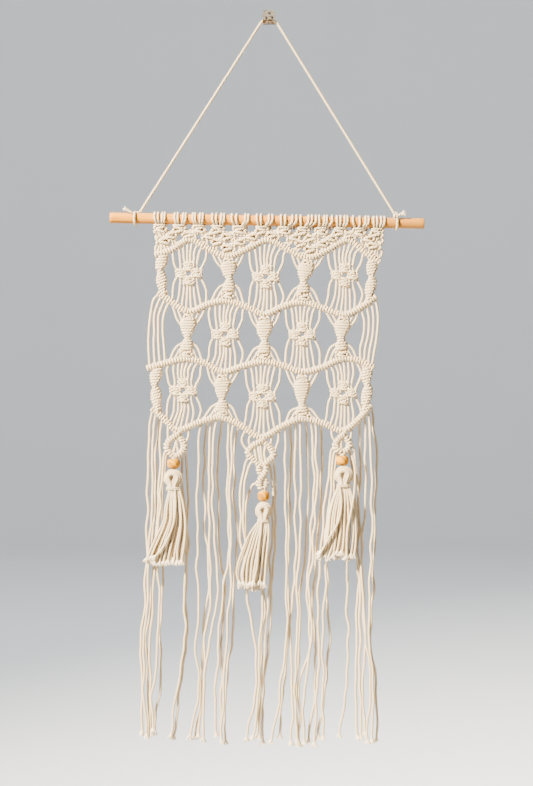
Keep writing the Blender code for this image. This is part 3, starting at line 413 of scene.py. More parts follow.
def laid_cord_tree():
    """Round cords along the curves: their radius is the points' own, and they sway a little."""
    tree, given = group_with("laid cord", (
        ("Sides", "Int", 8), ("Step", "Float", 2.0 * MM), ("Sway", "Float", 0.0),
        ("Sway scale", "Float", 0.014 / MM), ("Still length", "Float", 30.0 * MM),
        ("Seed", "Float", 3.0), ("Material", "Material", None)))
    # a cord keeps still at its root, and neighbours sway together
    place = add(tree, "GeometryNodeInputPosition")
    along = add(tree, "GeometryNodeSplineParameter")
    drift = add(tree, "ShaderNodeTexNoise",
                {"Vector": place.outputs[0], "W": given["Seed"],
                 "Scale": given["Sway scale"], "Detail": 1.0},
                noise_dimensions="4D")
    centred = add(tree, "ShaderNodeVectorMath",
                  {0: drift.outputs["Color"], 1: (0.5, 0.5, 0.5)}, operation="SUBTRACT")
    freed = add(tree, "ShaderNodeMapRange",
                {"Value": along.outputs["Length"], "From Max": given["Still length"]})
    amount = add(tree, "ShaderNodeMath", {0: freed.outputs[0], 1: given["Sway"]},
                 operation="MULTIPLY")
    scaled = add(tree, "ShaderNodeVectorMath",
                 {0: centred.outputs[0], "Scale": amount.outputs[0]}, operation="SCALE")
    # mostly sideways, a little toward the front, and never up or down
    flat = add(tree, "ShaderNodeVectorMath", {0: scaled.outputs[0], 1: (1.0, 0.3, 0.0)},
               operation="MULTIPLY")
    swayed = add(tree, "GeometryNodeSetPosition",
                 {"Geometry": even_curve(tree, given, given["Step"]),
                  "Offset": flat.outputs[0]})
    radius = add(tree, "GeometryNodeInputRadius")
    finish_cord(tree, given, swayed.outputs[0], radius.outputs[0])
    return tree


def wound_cord_tree():
    """A cord wound closely round each curve, as hitches are: the points' radius is its reach."""
    tree, given = group_with("wound cord", (
        ("Sides", "Int", 8), ("Pitch", "Float", 2.9 * MM), ("Depth", "Float", 3.2 * MM),
        ("Cord radius", "Float", CORD_RADIUS * MM), ("Lean", "Float", 0.0),
        ("Steps a turn", "Int", 12), ("Unevenness", "Float", 0.5 * MM),
        ("Seed", "Float", 5.0), ("Material", "Material", None)))
    step = add(tree, "ShaderNodeMath", {0: given["Pitch"], 1: given["Steps a turn"]},
               operation="DIVIDE")
    along = add(tree, "GeometryNodeSplineParameter")
    turns = add(tree, "ShaderNodeMath", {0: along.outputs["Length"], 1: given["Pitch"]},
                operation="DIVIDE")
    angle = add(tree, "ShaderNodeMath", {0: turns.outputs[0], 1: 2.0 * math.pi},
                operation="MULTIPLY")
    cosine = add(tree, "ShaderNodeMath", {0: angle.outputs[0]}, operation="COSINE")
    sine = add(tree, "ShaderNodeMath", {0: angle.outputs[0]}, operation="SINE")
    way = add(tree, "GeometryNodeInputTangent")
    across = add(tree, "ShaderNodeVectorMath",
                 {0: way.outputs[0], 1: tuple(FRONT)}, operation="CROSS_PRODUCT")
    # each turn bulges a little more or less than its neighbours
    place = add(tree, "GeometryNodeInputPosition")
    swell = add(tree, "ShaderNodeTexNoise",
                {"Vector": place.outputs[0], "W": given["Seed"], "Scale": 0.26 / MM,
                 "Detail": 1.0},
                noise_dimensions="4D")
    bulge = add(tree, "ShaderNodeMath", {0: swell.outputs["Fac"], 1: given["Unevenness"]},
                operation="MULTIPLY")
    radius = add(tree, "GeometryNodeInputRadius")
    reach = add(tree, "ShaderNodeMath", {0: radius.outputs[0], 1: given["Cord radius"]},
                operation="SUBTRACT")
    wide = add(tree, "ShaderNodeMath", {0: reach.outputs[0], 1: bulge.outputs[0]},
               operation="ADD")
    inner_depth = add(tree, "ShaderNodeMath", {0: given["Depth"], 1: given["Cord radius"]},
                      operation="SUBTRACT")
    deep = add(tree, "ShaderNodeMath", {0: inner_depth.outputs[0], 1: bulge.outputs[0]},
               operation="ADD")
    aside = add(tree, "ShaderNodeMath", {0: wide.outputs[0], 1: cosine.outputs[0]},
                operation="MULTIPLY")
    forward = add(tree, "ShaderNodeMath", {0: deep.outputs[0], 1: sine.outputs[0]},
                  operation="MULTIPLY")
    leaning = add(tree, "ShaderNodeMath", {0: given["Lean"], 1: cosine.outputs[0]},
                  operation="MULTIPLY")
    sideways = add(tree, "ShaderNodeVectorMath",
                   {0: across.outputs[0], "Scale": aside.outputs[0]}, operation="SCALE")
    toward = add(tree, "ShaderNodeVectorMath",
                 {0: tuple(FRONT), "Scale": forward.outputs[0]}, operation="SCALE")
    slant = add(tree, "ShaderNodeVectorMath",
                {0: way.outputs[0], "Scale": leaning.outputs[0]}, operation="SCALE")
    both = add(tree, "ShaderNodeVectorMath", {0: sideways.outputs[0], 1: toward.outputs[0]},
               operation="ADD")
    total = add(tree, "ShaderNodeVectorMath", {0: both.outputs[0], 1: slant.outputs[0]},
                operation="ADD")
    coiled = add(tree, "GeometryNodeSetPosition",
                 {"Geometry": even_curve(tree, given, step.outputs[0]),
                  "Offset": total.outputs[0]})
    finish_cord(tree, given, coiled.outputs[0], given["Cord radius"])
    return tree


LAID = laid_cord_tree()
WOUND = wound_cord_tree()


# ---------------------------------------------------------------- making pieces

def placed(name, data):
    """Object of this data in the scene."""
    obj = bpy.data.objects.new(name, data)
    bpy.context.scene.collection.objects.link(obj)
    return obj


def curve_of(runs):
    """Curve object with one spline for each run of (place, radius), in millimetres."""
    curve = bpy.data.curves.new("runs", "CURVE")
    curve.dimensions = "3D"
    for run in runs:
        spline = curve.splines.new("POLY")
        spline.points.add(len(run) - 1)
        for point, (place, radius) in zip(spline.points, run):
            point.co = (*(place * MM), 1.0)
            point.radius = radius * MM
    return curve


def grown(runs, tree, **inputs):
    """Plain mesh that a node tree grows on the runs."""
    obj = placed("growing", curve_of(runs))
    modifier = obj.modifiers.new("grow", "NODES")
    modifier.node_group = tree
    inputs.setdefault("Material", COTTON)
    for item in tree.interface.items_tree:
        if item.item_type == "SOCKET" and item.in_out == "INPUT":
            key = item.name.replace(" ", "_")
            if key in inputs:
                modifier[item.identifier] = inputs[key]
    graph = bpy.context.evaluated_depsgraph_get()
    mesh = bpy.data.meshes.new_from_object(obj.evaluated_get(graph),
                                           preserve_all_data_layers=True, depsgraph=graph)
    bpy.data.objects.remove(obj)
    return mesh


def piece(name, meshes, nodes=()):
    """One object made of several meshes, riding on the root body."""
    bm = bmesh.new()
    for mesh in meshes:
        bm.from_mesh(mesh)
    joined = meshes[0]
    bm.to_mesh(joined)
    bm.free()
    joined.name = name
    for mesh in meshes[1:]:
        bpy.data.meshes.remove(mesh)
    obj = placed(name, joined)
    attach(obj, "root")
    if nodes:
        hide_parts(*nodes)
    return obj


def even_radius(points, radius=CORD_RADIUS):
    """Run of one radius."""
    return [(point, radius) for point in points]


def turns(count):
    """Angles of a full circle in equal steps."""
    return [2.0 * math.pi * step / count for step in range(count)]


def circle(centre, radius, right, up, sides):
    """Places round a centre, in the plane of two directions."""
    return [centre + radius * (right * math.cos(turn) + up * math.sin(turn))
            for turn in turns(sides)]


def skinned(shells, material, closed=False, caps=()):
    """Mesh with faces from each ring of a shell to the next, and over the rings in caps."""
    bm = bmesh.new()
    for shell in shells:
        rings = [[bm.verts.new(place * MM) for place in ring] for ring in shell]
        followers = rings[1:] + rings[:1] if closed else rings[1:]
        for ring, following in zip(rings, followers):
            sides = max(len(ring), len(following))
            for side in range(sides):
                after = (side + 1) % sides
                # a ring of one point closes an end with triangles
                corners = list(dict.fromkeys((ring[side % len(ring)], ring[after % len(ring)],
                                              following[after % len(following)],
                                              following[side % len(following)])))
                bm.faces.new(corners).smooth = len(corners) == 4
        for cap in caps:
            bm.faces.new(rings[cap])
    bmesh.ops.recalc_face_normals(bm, faces=bm.faces)
    mesh = bpy.data.meshes.new("skinned")
    bm.to_mesh(mesh)
    bm.free()
    mesh.materials.append(material)
    return mesh


# ---------------------------------------------------------------- camera

CAMERA_LENS = 85.0
CAMERA_SENSOR = 36.0
# the camera looks along +Y, from this far in front of the cloth
CAMERA_DISTANCE = 2098.0
CAMERA_X = -2.8
CAMERA_Z = -427.0
camera_data = bpy.data.cameras.new("camera")
camera_data.lens = CAMERA_LENS
camera_data.sensor_width = CAMERA_SENSOR
camera = placed("camera", camera_data)
camera.location = cloth(CAMERA_X, CAMERA_Z, CAMERA_DISTANCE) * MM
camera.rotation_euler = (math.radians(90.0), 0.0, 0.0)
bpy.context.scene.camera = camera

# ---------------------------------------------------------------- hanging cord

CORD_Y = -3.1
CORD_LEFT_END = Vector((-146.2, CORD_Y, -222.0))
CORD_RIGHT_END = Vector((141.6, -17.2, -225.2))
# the cord's bend over the hook, right half: x, z
HOOK_BEND = ((3.0, -5.5), (6.8, -5.6), (8.6, -6.6), (10.2, -8.8))
# points of the route on each straight side
CORD_STEPS = 8


def hanging_cord_points():
    """Route of the cord from its left end, over the hook, to its right end."""
    left = [Vector((-x, CORD_Y, z)) for x, z in reversed(HOOK_BEND)]
    right = [Vector((x, CORD_Y, z)) for x, z in HOOK_BEND]
    down_left = [CORD_LEFT_END.lerp(left[0], step / CORD_STEPS) for step in range(CORD_STEPS)]
    down_right = [right[-1].lerp(CORD_RIGHT_END, (step + 1) / CORD_STEPS)
                  for step in range(CORD_STEPS)]
    return down_left + left + right + down_right


cord_route = hanging_cord_points()
cord_mesh = grown([even_radius(cord_route, HANGING_CORD_RADIUS)], LAID, Sides=12,
                  Step=1.2 * MM)
hanging_cord = piece("hanging_cord_laid", [cord_mesh], ("hanging_cord",))

# ---------------------------------------------------------------- bars

# x and z of each bar at every fourth strand, from the left
BARS = (
    ((-128.5, -271.0), (-110.0, -265.0), (-89.5, -253.5), (-67.0, -265.0), (-46.0, -272.5),
     (-25.0, -264.0), (-1.0, -254.0), (23.0, -265.5), (44.5, -274.0), (66.0, -265.5),
     (89.5, -254.0), (109.5, -268.5), (125.0, -279.0)),
    ((-124.5, -313.0), (-112.0, -322.5), (-90.5, -335.0), (-68.0, -326.0), (-47.0, -323.0),
     (-25.5, -329.5), (-5.0, -338.0), (16.0, -329.0), (38.5, -324.5), (61.0, -331.0),
     (84.5, -338.5), (104.0, -330.0), (121.0, -318.0)),
    ((-137.5, -399.0), (-114.5, -392.5), (-94.0, -388.5), (-72.5, -393.0), (-52.5, -403.0),
     (-29.5, -396.5), (-6.0, -391.5), (16.0, -396.0), (37.5, -403.0), (60.0, -398.0),
     (82.0, -388.5), (101.5, -390.5), (118.5, -399.0)),
    ((-131.5, -444.0), (-117.5, -457.0), (-103.0, -469.0), (-78.0, -460.0), (-54.0, -454.5),
     (-30.5, -464.5), (-8.5, -477.0), (16.0, -464.0), (37.5, -456.0), (61.0, -461.0),
     (83.5, -469.5), (101.5, -456.5), (115.5, -440.0)),
)
BAR_STEP = 4
BAR_REACH = 3.45
BAR_CORE = 1.3
# how far off a bar's centre line the strands leave it
BAR_ROOT = 1.2


def bar_point(bar, strand, rise=0.0, toward=0.0):
    """Place on a bar's centre line at a strand number."""
    index = min(max(int(strand // BAR_STEP), 0), len(bar) - 2)
    x0, z0 = bar[index]
    x1, z1 = bar[index + 1]
    part = strand / BAR_STEP - index
    return cloth(x0 + part * (x1 - x0), z0 + part * (z1 - z0) + rise, toward)


def between_bars(upper, lower, strand, points):
    """Points of a strand with its roots on the bars above and below."""
    return [bar_point(upper, strand + 0.5, -BAR_ROOT), *points,
            bar_point(lower, strand + 0.5, BAR_ROOT)]


bar_runs = [even_radius([cloth(x, z) for x, z in bar], BAR_REACH) for bar in BARS]
bar_meshes = [grown(bar_runs, WOUND, Pitch=3.25 * MM, Depth=3.6 * MM, Lean=0.6 * MM,
                    Cord_radius=1.6 * MM, Unevenness=1.0 * MM),
              grown([even_radius([place for place, _ in run], BAR_CORE) for run in bar_runs],
                    LAID, Sides=6, Step=4.0 * MM)]
piece("hitched_bars", bar_meshes)

# ---------------------------------------------------------------- square knots

random_source = random.Random(11)


def jitter(amount):
    """Small random offset, the same each run."""
    return Vector((random_source.uniform(-amount, amount), 0.0,
                   random_source.uniform(-amount, amount)))


# A square knot's four strands: across and up as parts of its half sizes, and millimetres
# toward the front. The first strand crosses the front and comes back, and the last one
# passes behind and shows as round bumps at both sides.
FRONT_STRAND = ((-0.45, 1.0, 0.2), (-0.7, 0.88, 1.3), (-0.6, 0.66, 2.5), (-0.2, 0.48, 3.0),
                (0.24, 0.3, 2.9), (0.56, 0.14, 1.6), (0.68, 0.0, -0.6), (0.56, -0.14, 1.6),
                (0.24, -0.3, 2.9), (-0.2, -0.48, 3.0), (-0.6, -0.66, 2.5),
                (-0.7, -0.88, 1.3), (-0.45, -1.0, 0.2))
BACK_STRAND = ((0.45, 1.0, 0.2), (0.74, 0.84, 1.5), (0.88, 0.58, 2.2), (0.8, 0.3, 1.8),
               (0.45, 0.16, -2.0), (-0.3, 0.16, -2.8), (-0.74, 0.2, -0.6), (-0.92, 0.18, 1.6),
               (-0.8, 0.0, 2.7), (-0.92, -0.18, 1.6), (-0.74, -0.2, -0.6), (-0.3, -0.16, -2.8),
               (0.45, -0.16, -2.0), (0.8, -0.3, 1.8), (0.88, -0.58, 2.2), (0.74, -0.84, 1.5),
               (0.45, -1.0, 0.2))
LEFT_CORE = ((-0.2, 1.0, 0.8), (-0.2, 0.4, 0.0), (-0.2, -0.4, 0.0), (-0.2, -1.0, 0.8))
RIGHT_CORE = tuple((-across, up, toward) for across, up, toward in LEFT_CORE)
KNOT_STRANDS = (FRONT_STRAND, LEFT_CORE, RIGHT_CORE, BACK_STRAND)


class Knot:
    """Square knot of four strands at a place, with its half sizes and its hand."""

    def __init__(self, first, x, z, half_width, half_height, hand=1, toward=0.0):
        self.first = first
        self.x = x
        self.z = z
        self.half_width = half_width
        self.half_height = half_height
        self.hand = hand
        self.toward = toward

    def holds(self, strand):
        """Whether a strand is one of its four."""
        return self.first <= strand < self.first + len(KNOT_STRANDS)

    def points(self, strand):
        """The way of one of its strands through the knot, from the top down."""
        column = strand - self.first
        if self.hand < 0:
            column = len(KNOT_STRANDS) - 1 - column
        return [cloth(self.x + self.hand * across * self.half_width,
                      self.z + up * self.half_height, self.toward + toward)
                for across, up, toward in KNOT_STRANDS[column]]


# a doubled knot's halves are each a little over half as high as it is, so that they meet
DOUBLED_PART = 0.52


def doubled(first, x, z, half_width, half_height):
    """Two square knots of opposite hands, one under the other, in the place of one."""
    return [Knot(first, x, z + hand * 0.5 * half_height, half_width,
                 DOUBLED_PART * half_height, hand) for hand in (1, -1)]


def through(knots, strand):
    """Way of a strand through each knot that holds it, from the top down."""
    return [point for knot in knots if knot.holds(strand) for point in knot.points(strand)]


# ---------------------------------------------------------------- loops on the rod and band

TOP_KNOTS = (-122.5, -101.0, -79.0, -57.5, -33.5, -8.0, 17.0, 38.5, 59.0, 80.0, 101.5, 122.0)
# where the strands cross the front of the rod, four for each knot
ROD_STRANDS = (-128.8, -124.9, -120.3, -117.5, -106.2, -102.8, -96.6, -93.8,
               -85.9, -83.1, -77.7, -74.6, -63.8, -59.3, -53.7, -50.3,
               -41.8, -36.7, -26.6, -23.2, -13.6, -9.0, 0.0, 4.0,
               13.6, 18.6, 26.6, 31.1, 35.9, 44.6, 48.6, 53.1,
               56.8, 62.7, 65.5, 71.2, 76.8, 80.8, 85.5, 88.7,
               94.9, 102.5, 109.0, 112.4, 118.1, 122.0, 126.6, 130.3)
STRANDS = len(ROD_STRANDS)
LOOP_REACH = 6.8
LOOP_CORD = 1.3
# degrees round the rod, from low behind it, over it to low in front of it
LOOP_ANGLES = (215, 180, 135, 90, 45, 0, -28)
# share of their spread that the strands keep low on the rod, as their knot gathers them
LOOP_GATHER = 0.82
LOOP_START_DROP = 9.5
LOOP_START_DEPTH = 2.5
TOP_KNOT_DROP = 12.2
SECOND_ROW_DROP = 18.7
THIRD_ROW_DROP = 25.0
FOURTH_ROW_DROP = 31.4
BAR_CLEARANCE = 5.6
# further knots: first strand, x, drop below the rod
LOWER_KNOTS = ((0, -119.5, THIRD_ROW_DROP), (12, -57.0, THIRD_ROW_DROP),
               (16, -34.3, THIRD_ROW_DROP), (28, 37.8, THIRD_ROW_DROP),
               (32, 59.2, THIRD_ROW_DROP), (44, 119.0, THIRD_ROW_DROP + 1.0),
               (14, -45.6, FOURTH_ROW_DROP), (30, 47.8, FOURTH_ROW_DROP))
KNOT_CORD = 1.62
TOP_KNOT_WIDTH = 7.6
TOP_KNOT_TOWARD = 0.4
BAND_KNOT_WIDTH = 8.2
BAND_KNOT_HEIGHT = 4.5
BAND_JITTER = 0.12
# how far the outermost strands bow out, where they are this far off a knot or farther
EDGE_BOW = 1.6
BOW_CLEARANCE = 0.1


def band_knots():
    """Square knots above the first bar, row by row."""
    knots = []
    for group, x in enumerate(TOP_KNOTS):
        knots.append(Knot(4 * group, x, rod_z(x) - TOP_KNOT_DROP, TOP_KNOT_WIDTH,
                          BAND_KNOT_HEIGHT, 1 if group % 2 else -1, TOP_KNOT_TOWARD))
    for group in range(len(TOP_KNOTS) - 1):
        x = 0.5 * (TOP_KNOTS[group] + TOP_KNOTS[group + 1])
        lowest = bar_point(BARS[0], 4 * group + 4).z + BAR_CLEARANCE
        z = max(rod_z(x) - SECOND_ROW_DROP, lowest)
        knots.append(Knot(4 * group + 2, x, z, BAND_KNOT_WIDTH, BAND_KNOT_HEIGHT,
                          1 if group % 2 else -1))
    for first, x, drop in LOWER_KNOTS:
        knots.append(Knot(first, x, rod_z(x) - drop, BAND_KNOT_WIDTH, BAND_KNOT_HEIGHT,
                          1 if first % 8 else -1))
    return knots


def band_strand(strand, knots):
    """One strand from behind the rod, over it and through the knots to the first bar."""
    x = ROD_STRANDS[strand]
    knot_x = TOP_KNOTS[strand // 4]
    foot_x = knot_x + LOOP_GATHER * (x - knot_x)
    points = [cloth(foot_x, rod_z(foot_x) - LOOP_START_DROP, -LOOP_START_DEPTH)]
    for degrees in LOOP_ANGLES:
        turn = math.radians(degrees)
        at_x = foot_x if degrees in (LOOP_ANGLES[0], LOOP_ANGLES[-1]) else x
        axis = Vector((at_x, ROD_CENTRE.y, rod_z(at_x)))
        points.append(axis + LOOP_REACH * Vector((0.0, -math.cos(turn), math.sin(turn))))
    loop_length = len(points)
    held = [knot for knot in knots if knot.holds(strand)]
    points += through(held, strand)
    # the outermost strands bow out between the edge knots
    if strand in (0, STRANDS - 1):
        side = -1.0 if strand == 0 else 1.0
        for point in points[loop_length:]:
            if all(abs(point.z - knot.z) >= knot.half_height + BOW_CLEARANCE for knot in held):
                point.x += side * EDGE_BOW
    points.append(bar_point(BARS[0], strand + 0.5, BAR_ROOT))
    points = [point + jitter(BAND_JITTER) for point in points]
    return (even_radius(points[:loop_length], LOOP_CORD)
            + even_radius(points[loop_length:], KNOT_CORD))


# bows of the band's outer strands: side, x and z of the middle
BOWS = ((-1.0, -127.0, -251.2), (-1.0, -127.4, -264.0), (1.0, 128.0, -254.5),
        (1.0, 127.0, -268.5))
# a bow from the top down: out and up
BOW_SHAPE = ((-3.0, 6.0), (0.4, 2.2), (0.4, -2.2), (-3.0, -6.0))
BOW_TOWARD = 0.5


def edge_bows():
    """Where the outer strands of the band bow out between two edge knots."""
    return [even_radius([cloth(x + side * out, z + up, BOW_TOWARD) for out, up in BOW_SHAPE])
            for side, x, z in BOWS]


BIGHT_DROP = 7.3
# left half of a bight, from its end to near its middle: across, up and toward the front
BIGHT_SHAPE = ((7.2, 0.7, -1.5), (7.0, 0.5, 1.5), (3.5, 0.0, 4.2))


def bights():
    """The cord that lies across the front of each group just under the rod."""
    runs = []
    for x in TOP_KNOTS:
        z = rod_z(x) - BIGHT_DROP
        left = [cloth(x - across, z + up, toward) for across, up, toward in BIGHT_SHAPE]
        right = [cloth(x + across, z + up, toward)
                 for across, up, toward in reversed(BIGHT_SHAPE)]
        runs.append(even_radius(left + right, LOOP_CORD))
    return runs


knots_of_band = band_knots()
band_runs = [band_strand(strand, knots_of_band) for strand in range(STRANDS)]
piece("rod_loops_and_band", [grown(band_runs + edge_bows() + bights(), LAID, Step=1.3 * MM)],
      ("net",))

# ---------------------------------------------------------------- motifs between the bars

# upper bar, first strand, x and z of the middle or the neck
FLOWERS = ((0, 4, -90.5, -292.0), (0, 20, -3.5, -296.0), (0, 36, 85.5, -294.0),
           (1, 12, -49.5, -361.0), (1, 28, 37.5, -361.0),
           (2, 4, -97.0, -424.5), (2, 20, -7.5, -431.0), (2, 36, 84.0, -427.0))
HOURGLASSES = ((0, 12, -44.5, -298.0), (0, 28, 39.0, -301.5),
               (1, 4, -92.0, -365.0), (1, 20, -5.0, -368.5), (1, 36, 81.5, -366.0),
               (2, 12, -53.0, -434.5), (2, 28, 37.5, -440.0))
EDGE_MOTIFS = ((0, 0, -123.0, -289.5), (0, 44, 116.0, -301.5),
               (2, 0, -129.0, -418.5), (2, 44, 111.5, -422.5))
# a flower's four double knots: first strand, x and z from the middle
FLOWER_KNOTS = ((2, 0.3, 7.8), (0, -8.6, -0.2), (4, 8.9, 0.2), (2, -0.2, -7.8))
FLOWER_KNOT_WIDTH = 6.2
FLOWER_KNOT_HEIGHT = 4.9
FLOWER_CORD = 1.5
# bends of the strands beside a flower, from the outermost inwards: x, z
FLOWER_BENDS = (((18.2, 24.0), (17.6, 17.0), (15.9, 9.0), (12.8, 3.4)),
                ((10.8, 24.0), (9.6, 12.0), (9.0, 7.4)),
                ((5.8, 24.0), (5.4, 16.0), (4.4, 12.6)), ((1.6, 22.0), (1.5, 15.0)))
# the right side's strands stand a little further out where they are this far from the middle
RIGHT_STRETCH = 1.1
STRETCH_FROM = 14.0
FLOWER_TOWARD = 0.3
# a bend this near to the bar's centre line or nearer is left out
BEND_CLEARANCE = 3.0
MOTIF_STRANDS = 8
STRAND_JITTER = 0.2
FLOWER_JITTER = 0.35
# an outermost strand enters its knot from the side: that many of the knot's points are left out
SIDE_ENTRY = 2


def flower_strand(upper, lower, first, x, z, strand):
    """One of a flower's eight strands, from bar to bar."""
    knots = [knot for row_first, dx, dz in FLOWER_KNOTS
             for knot in doubled(row_first, x + dx, z + dz, FLOWER_KNOT_WIDTH,
                                 FLOWER_KNOT_HEIGHT)]
    side = -1.0 if strand < len(FLOWER_BENDS) else 1.0
    column = min(strand, MOTIF_STRANDS - 1 - strand)
    stretch = RIGHT_STRETCH if side > 0.0 else 1.0
    ends = []
    for rows, up in ((upper, 1.0), (lower, -1.0)):
        root = bar_point(rows, first + strand + 0.5, -up * BAR_ROOT)
        reach = abs(root.z - z) - BEND_CLEARANCE
        bends = [cloth(x + side * dx * (stretch if dz > STRETCH_FROM else 1.0), z + up * dz,
                       FLOWER_TOWARD)
                 for dx, dz in FLOWER_BENDS[column] if dz < reach]
        ends.append([root] + bends)
    knotted = through(knots, strand)
    if column == 0:
        knotted = knotted[SIDE_ENTRY:-SIDE_ENTRY]
    points = ends[0] + knotted + ends[1][::-1]
    run = even_radius([point + jitter(STRAND_JITTER) for point in points])
    inside = slice(len(ends[0]), len(ends[0]) + len(knotted))
    run[inside] = [(point + jitter(FLOWER_JITTER), FLOWER_CORD) for point, _ in run[inside]]
    return run


# An hourglass's wraps: part of the way and half width, above the neck and below it
UPPER_WRAPS = ((0.28, 7.4), (0.4, 9.0), (0.55, 8.4), (0.7, 7.2), (0.85, 5.0), (0.97, 3.2))
LOWER_WRAPS = ((0.08, 4.2), (0.2, 5.9), (0.4, 6.8), (0.58, 5.9))
# the strands beside the wraps, from the bar inwards: offset and part of the way
UPPER_SIDES = (((13.4, 0.25), (7.6, 0.5)), ((9.2, 0.18), (6.2, 0.4)))
LOWER_SIDES = (((14.2, 0.62), (10.4, 0.38), (4.4, 0.24)),
               ((9.8, 0.76), (7.8, 0.58), (4.4, 0.44)))
# an hourglass's knots above and below the neck: part of the way, half width, half height, hand
UPPER_KNOT = (0.2, 5.6, 3.6, 1)
LOWER_KNOT = (0.78, 7.4, 3.8, -1)
# the middle strands' part of the way and pitch above the neck and below it, and pitch at it
WAIST_ABOVE = (0.6, 2.4)
WAIST_BELOW = (0.3, 1.8)
NECK_PITCH = 1.2
# where a strand beside the wraps ends under them, from its last bend: inwards and onwards
TUCKED_IN = (3.0, 2.0)


def hourglass(upper, lower, first, x, z):
    """Strands and wraps of an hourglass, from bar to bar."""
    middle = first + 4
    top = bar_point(upper, middle)
    neck = cloth(x, z)
    foot = bar_point(lower, middle)
    core = first + 2
    knots = []
    for start, end, (part, *sizes) in ((top, neck, UPPER_KNOT), (neck, foot, LOWER_KNOT)):
        knots.append(Knot(core, *start.lerp(end, part).xz, *sizes))
    waist = ((top.lerp(neck, WAIST_ABOVE[0]), WAIST_ABOVE[1]), (neck, NECK_PITCH),
             (neck.lerp(foot, WAIST_BELOW[0]), WAIST_BELOW[1]))
    strands = []
    for strand in range(core, core + len(KNOT_STRANDS)):
        offset = strand - core - 1.5
        middle_points = [place + Vector((offset * pitch, 0.0, 0.0)) for place, pitch in waist]
        points = between_bars(upper, lower, strand,
                              knots[0].points(strand) + middle_points
                              + knots[1].points(strand))
        strands.append(even_radius([point + jitter(STRAND_JITTER) for point in points]))
    inwards, onwards = TUCKED_IN
    for bar, start, end, up, sides in ((upper, top, neck, 1.0, UPPER_SIDES),
                                       (lower, neck, foot, -1.0, LOWER_SIDES)):
        for column, bends in enumerate(sides):
            for hand, number in ((-1.0, column), (1.0, MOTIF_STRANDS - 1 - column)):
                points = [bar_point(bar, first + number + 0.5, -up * BAR_ROOT)]
                points += [start.lerp(end, part) + Vector((hand * across, 0.0, 0.0))
                           for across, part in bends]
                points.append(points[-1] + Vector((-hand * inwards, 0.0, -up * onwards)))
                strands.append(even_radius(points))
    wraps = [(top.lerp(neck, part), half_width) for part, half_width in UPPER_WRAPS]
    wraps += [(neck.lerp(foot, part), half_width) for part, half_width in LOWER_WRAPS]
    return strands, wraps


# An edge motif's wraps: part of the way between the bars and half width
EDGE_WRAPS = ((0.08, 4.8), (0.15, 6.2), (0.3, 5.6), (0.42, 2.4), (0.5, 4.6), (0.62, 6.0),
              (0.76, 5.0), (0.85, 3.2), (0.95, 4.4))
# how far apart the strands lie inside the wraps, as a part of their half width
EDGE_GATHER = 0.4


def edge_motif(upper, lower, first, x, z):
    """The spiral at an edge: its four strands and its slanting wraps."""
    top = bar_point(upper, first + 2)
    foot = bar_point(lower, first + 2)
    neck_part = (top.z - z) / (top.z - foot.z)
    wraps = []
    for part, half_width in EDGE_WRAPS:
        if part < neck_part:
            place_x = top.x + (x - top.x) * part / neck_part
        else:
            place_x = x + (foot.x - x) * (part - neck_part) / (1.0 - neck_part)
        wraps.append((cloth(place_x, top.z + (foot.z - top.z) * part), half_width))
    strands = []
    for strand in range(first, first + 4):
        offset = strand - first - 1.5
        points = [place + Vector((offset * half_width * EDGE_GATHER, 0.0, 0.0))
                  for place, half_width in wraps]
        strands.append(even_radius(between_bars(upper, lower, strand, points)))
    return strands, wraps


# Loose strands beside the second panel: strand, then x and z down between the bars
LOOSE_STRANDS = (
    (0, (-130.0, -321.0), (-133.5, -337.0), (-135.5, -356.0), (-136.0, -375.0)),
    (1, (-124.3, -323.0), (-129.4, -339.0), (-129.5, -356.0), (-130.0, -371.0)),
    (2, (-119.0, -324.5), (-124.5, -339.0), (-125.0, -356.0), (-124.8, -371.0)),
    (3, (-114.0, -326.0), (-118.8, -339.0), (-120.0, -354.0), (-118.7, -371.0)),
    (44, (105.5, -336.0), (108.0, -346.0), (107.0, -361.5), (103.5, -376.5)),
    (45, (111.5, -333.0), (113.3, -344.5), (112.4, -361.5), (109.0, -376.5)),
    (46, (116.8, -330.0), (118.4, -343.5), (117.4, -361.5), (114.4, -376.5)),
    (47, (121.6, -327.0), (123.5, -342.0), (122.2, -361.5), (119.8, -376.5)),
)

motif_strands = []
hourglass_wraps = []
edge_wraps = []
for level, first, x, z in FLOWERS:
    for strand in range(MOTIF_STRANDS):
        motif_strands.append(flower_strand(BARS[level], BARS[level + 1], first, x, z, strand))
for motifs, motif, motif_wraps in ((HOURGLASSES, hourglass, hourglass_wraps),
                                   (EDGE_MOTIFS, edge_motif, edge_wraps)):
    for level, first, x, z in motifs:
        strands, wraps = motif(BARS[level], BARS[level + 1], first, x, z)
        motif_strands += strands
        motif_wraps.append(wraps)
for strand, *places in LOOSE_STRANDS:
    points = [cloth(x, z) for x, z in places]
    motif_strands.append(even_radius(between_bars(BARS[1], BARS[2], strand, points)))
piece("flowers_and_panel_strands",
      [grown(motif_strands, LAID, Step=1.4 * MM)])
piece("hourglass_and_edge_wraps",
      [grown(hourglass_wraps, WOUND, Pitch=3.0 * MM, Depth=3.6 * MM, Steps_a_turn=16,
             Cord_radius=1.55 * MM, Lean=0.9 * MM, Unevenness=1.6 * MM),
       grown(edge_wraps, WOUND, Pitch=3.2 * MM, Depth=3.6 * MM, Steps_a_turn=16,
             Cord_radius=1.6 * MM, Lean=1.8 * MM, Unevenness=1.8 * MM)])

# ---------------------------------------------------------------- pendants

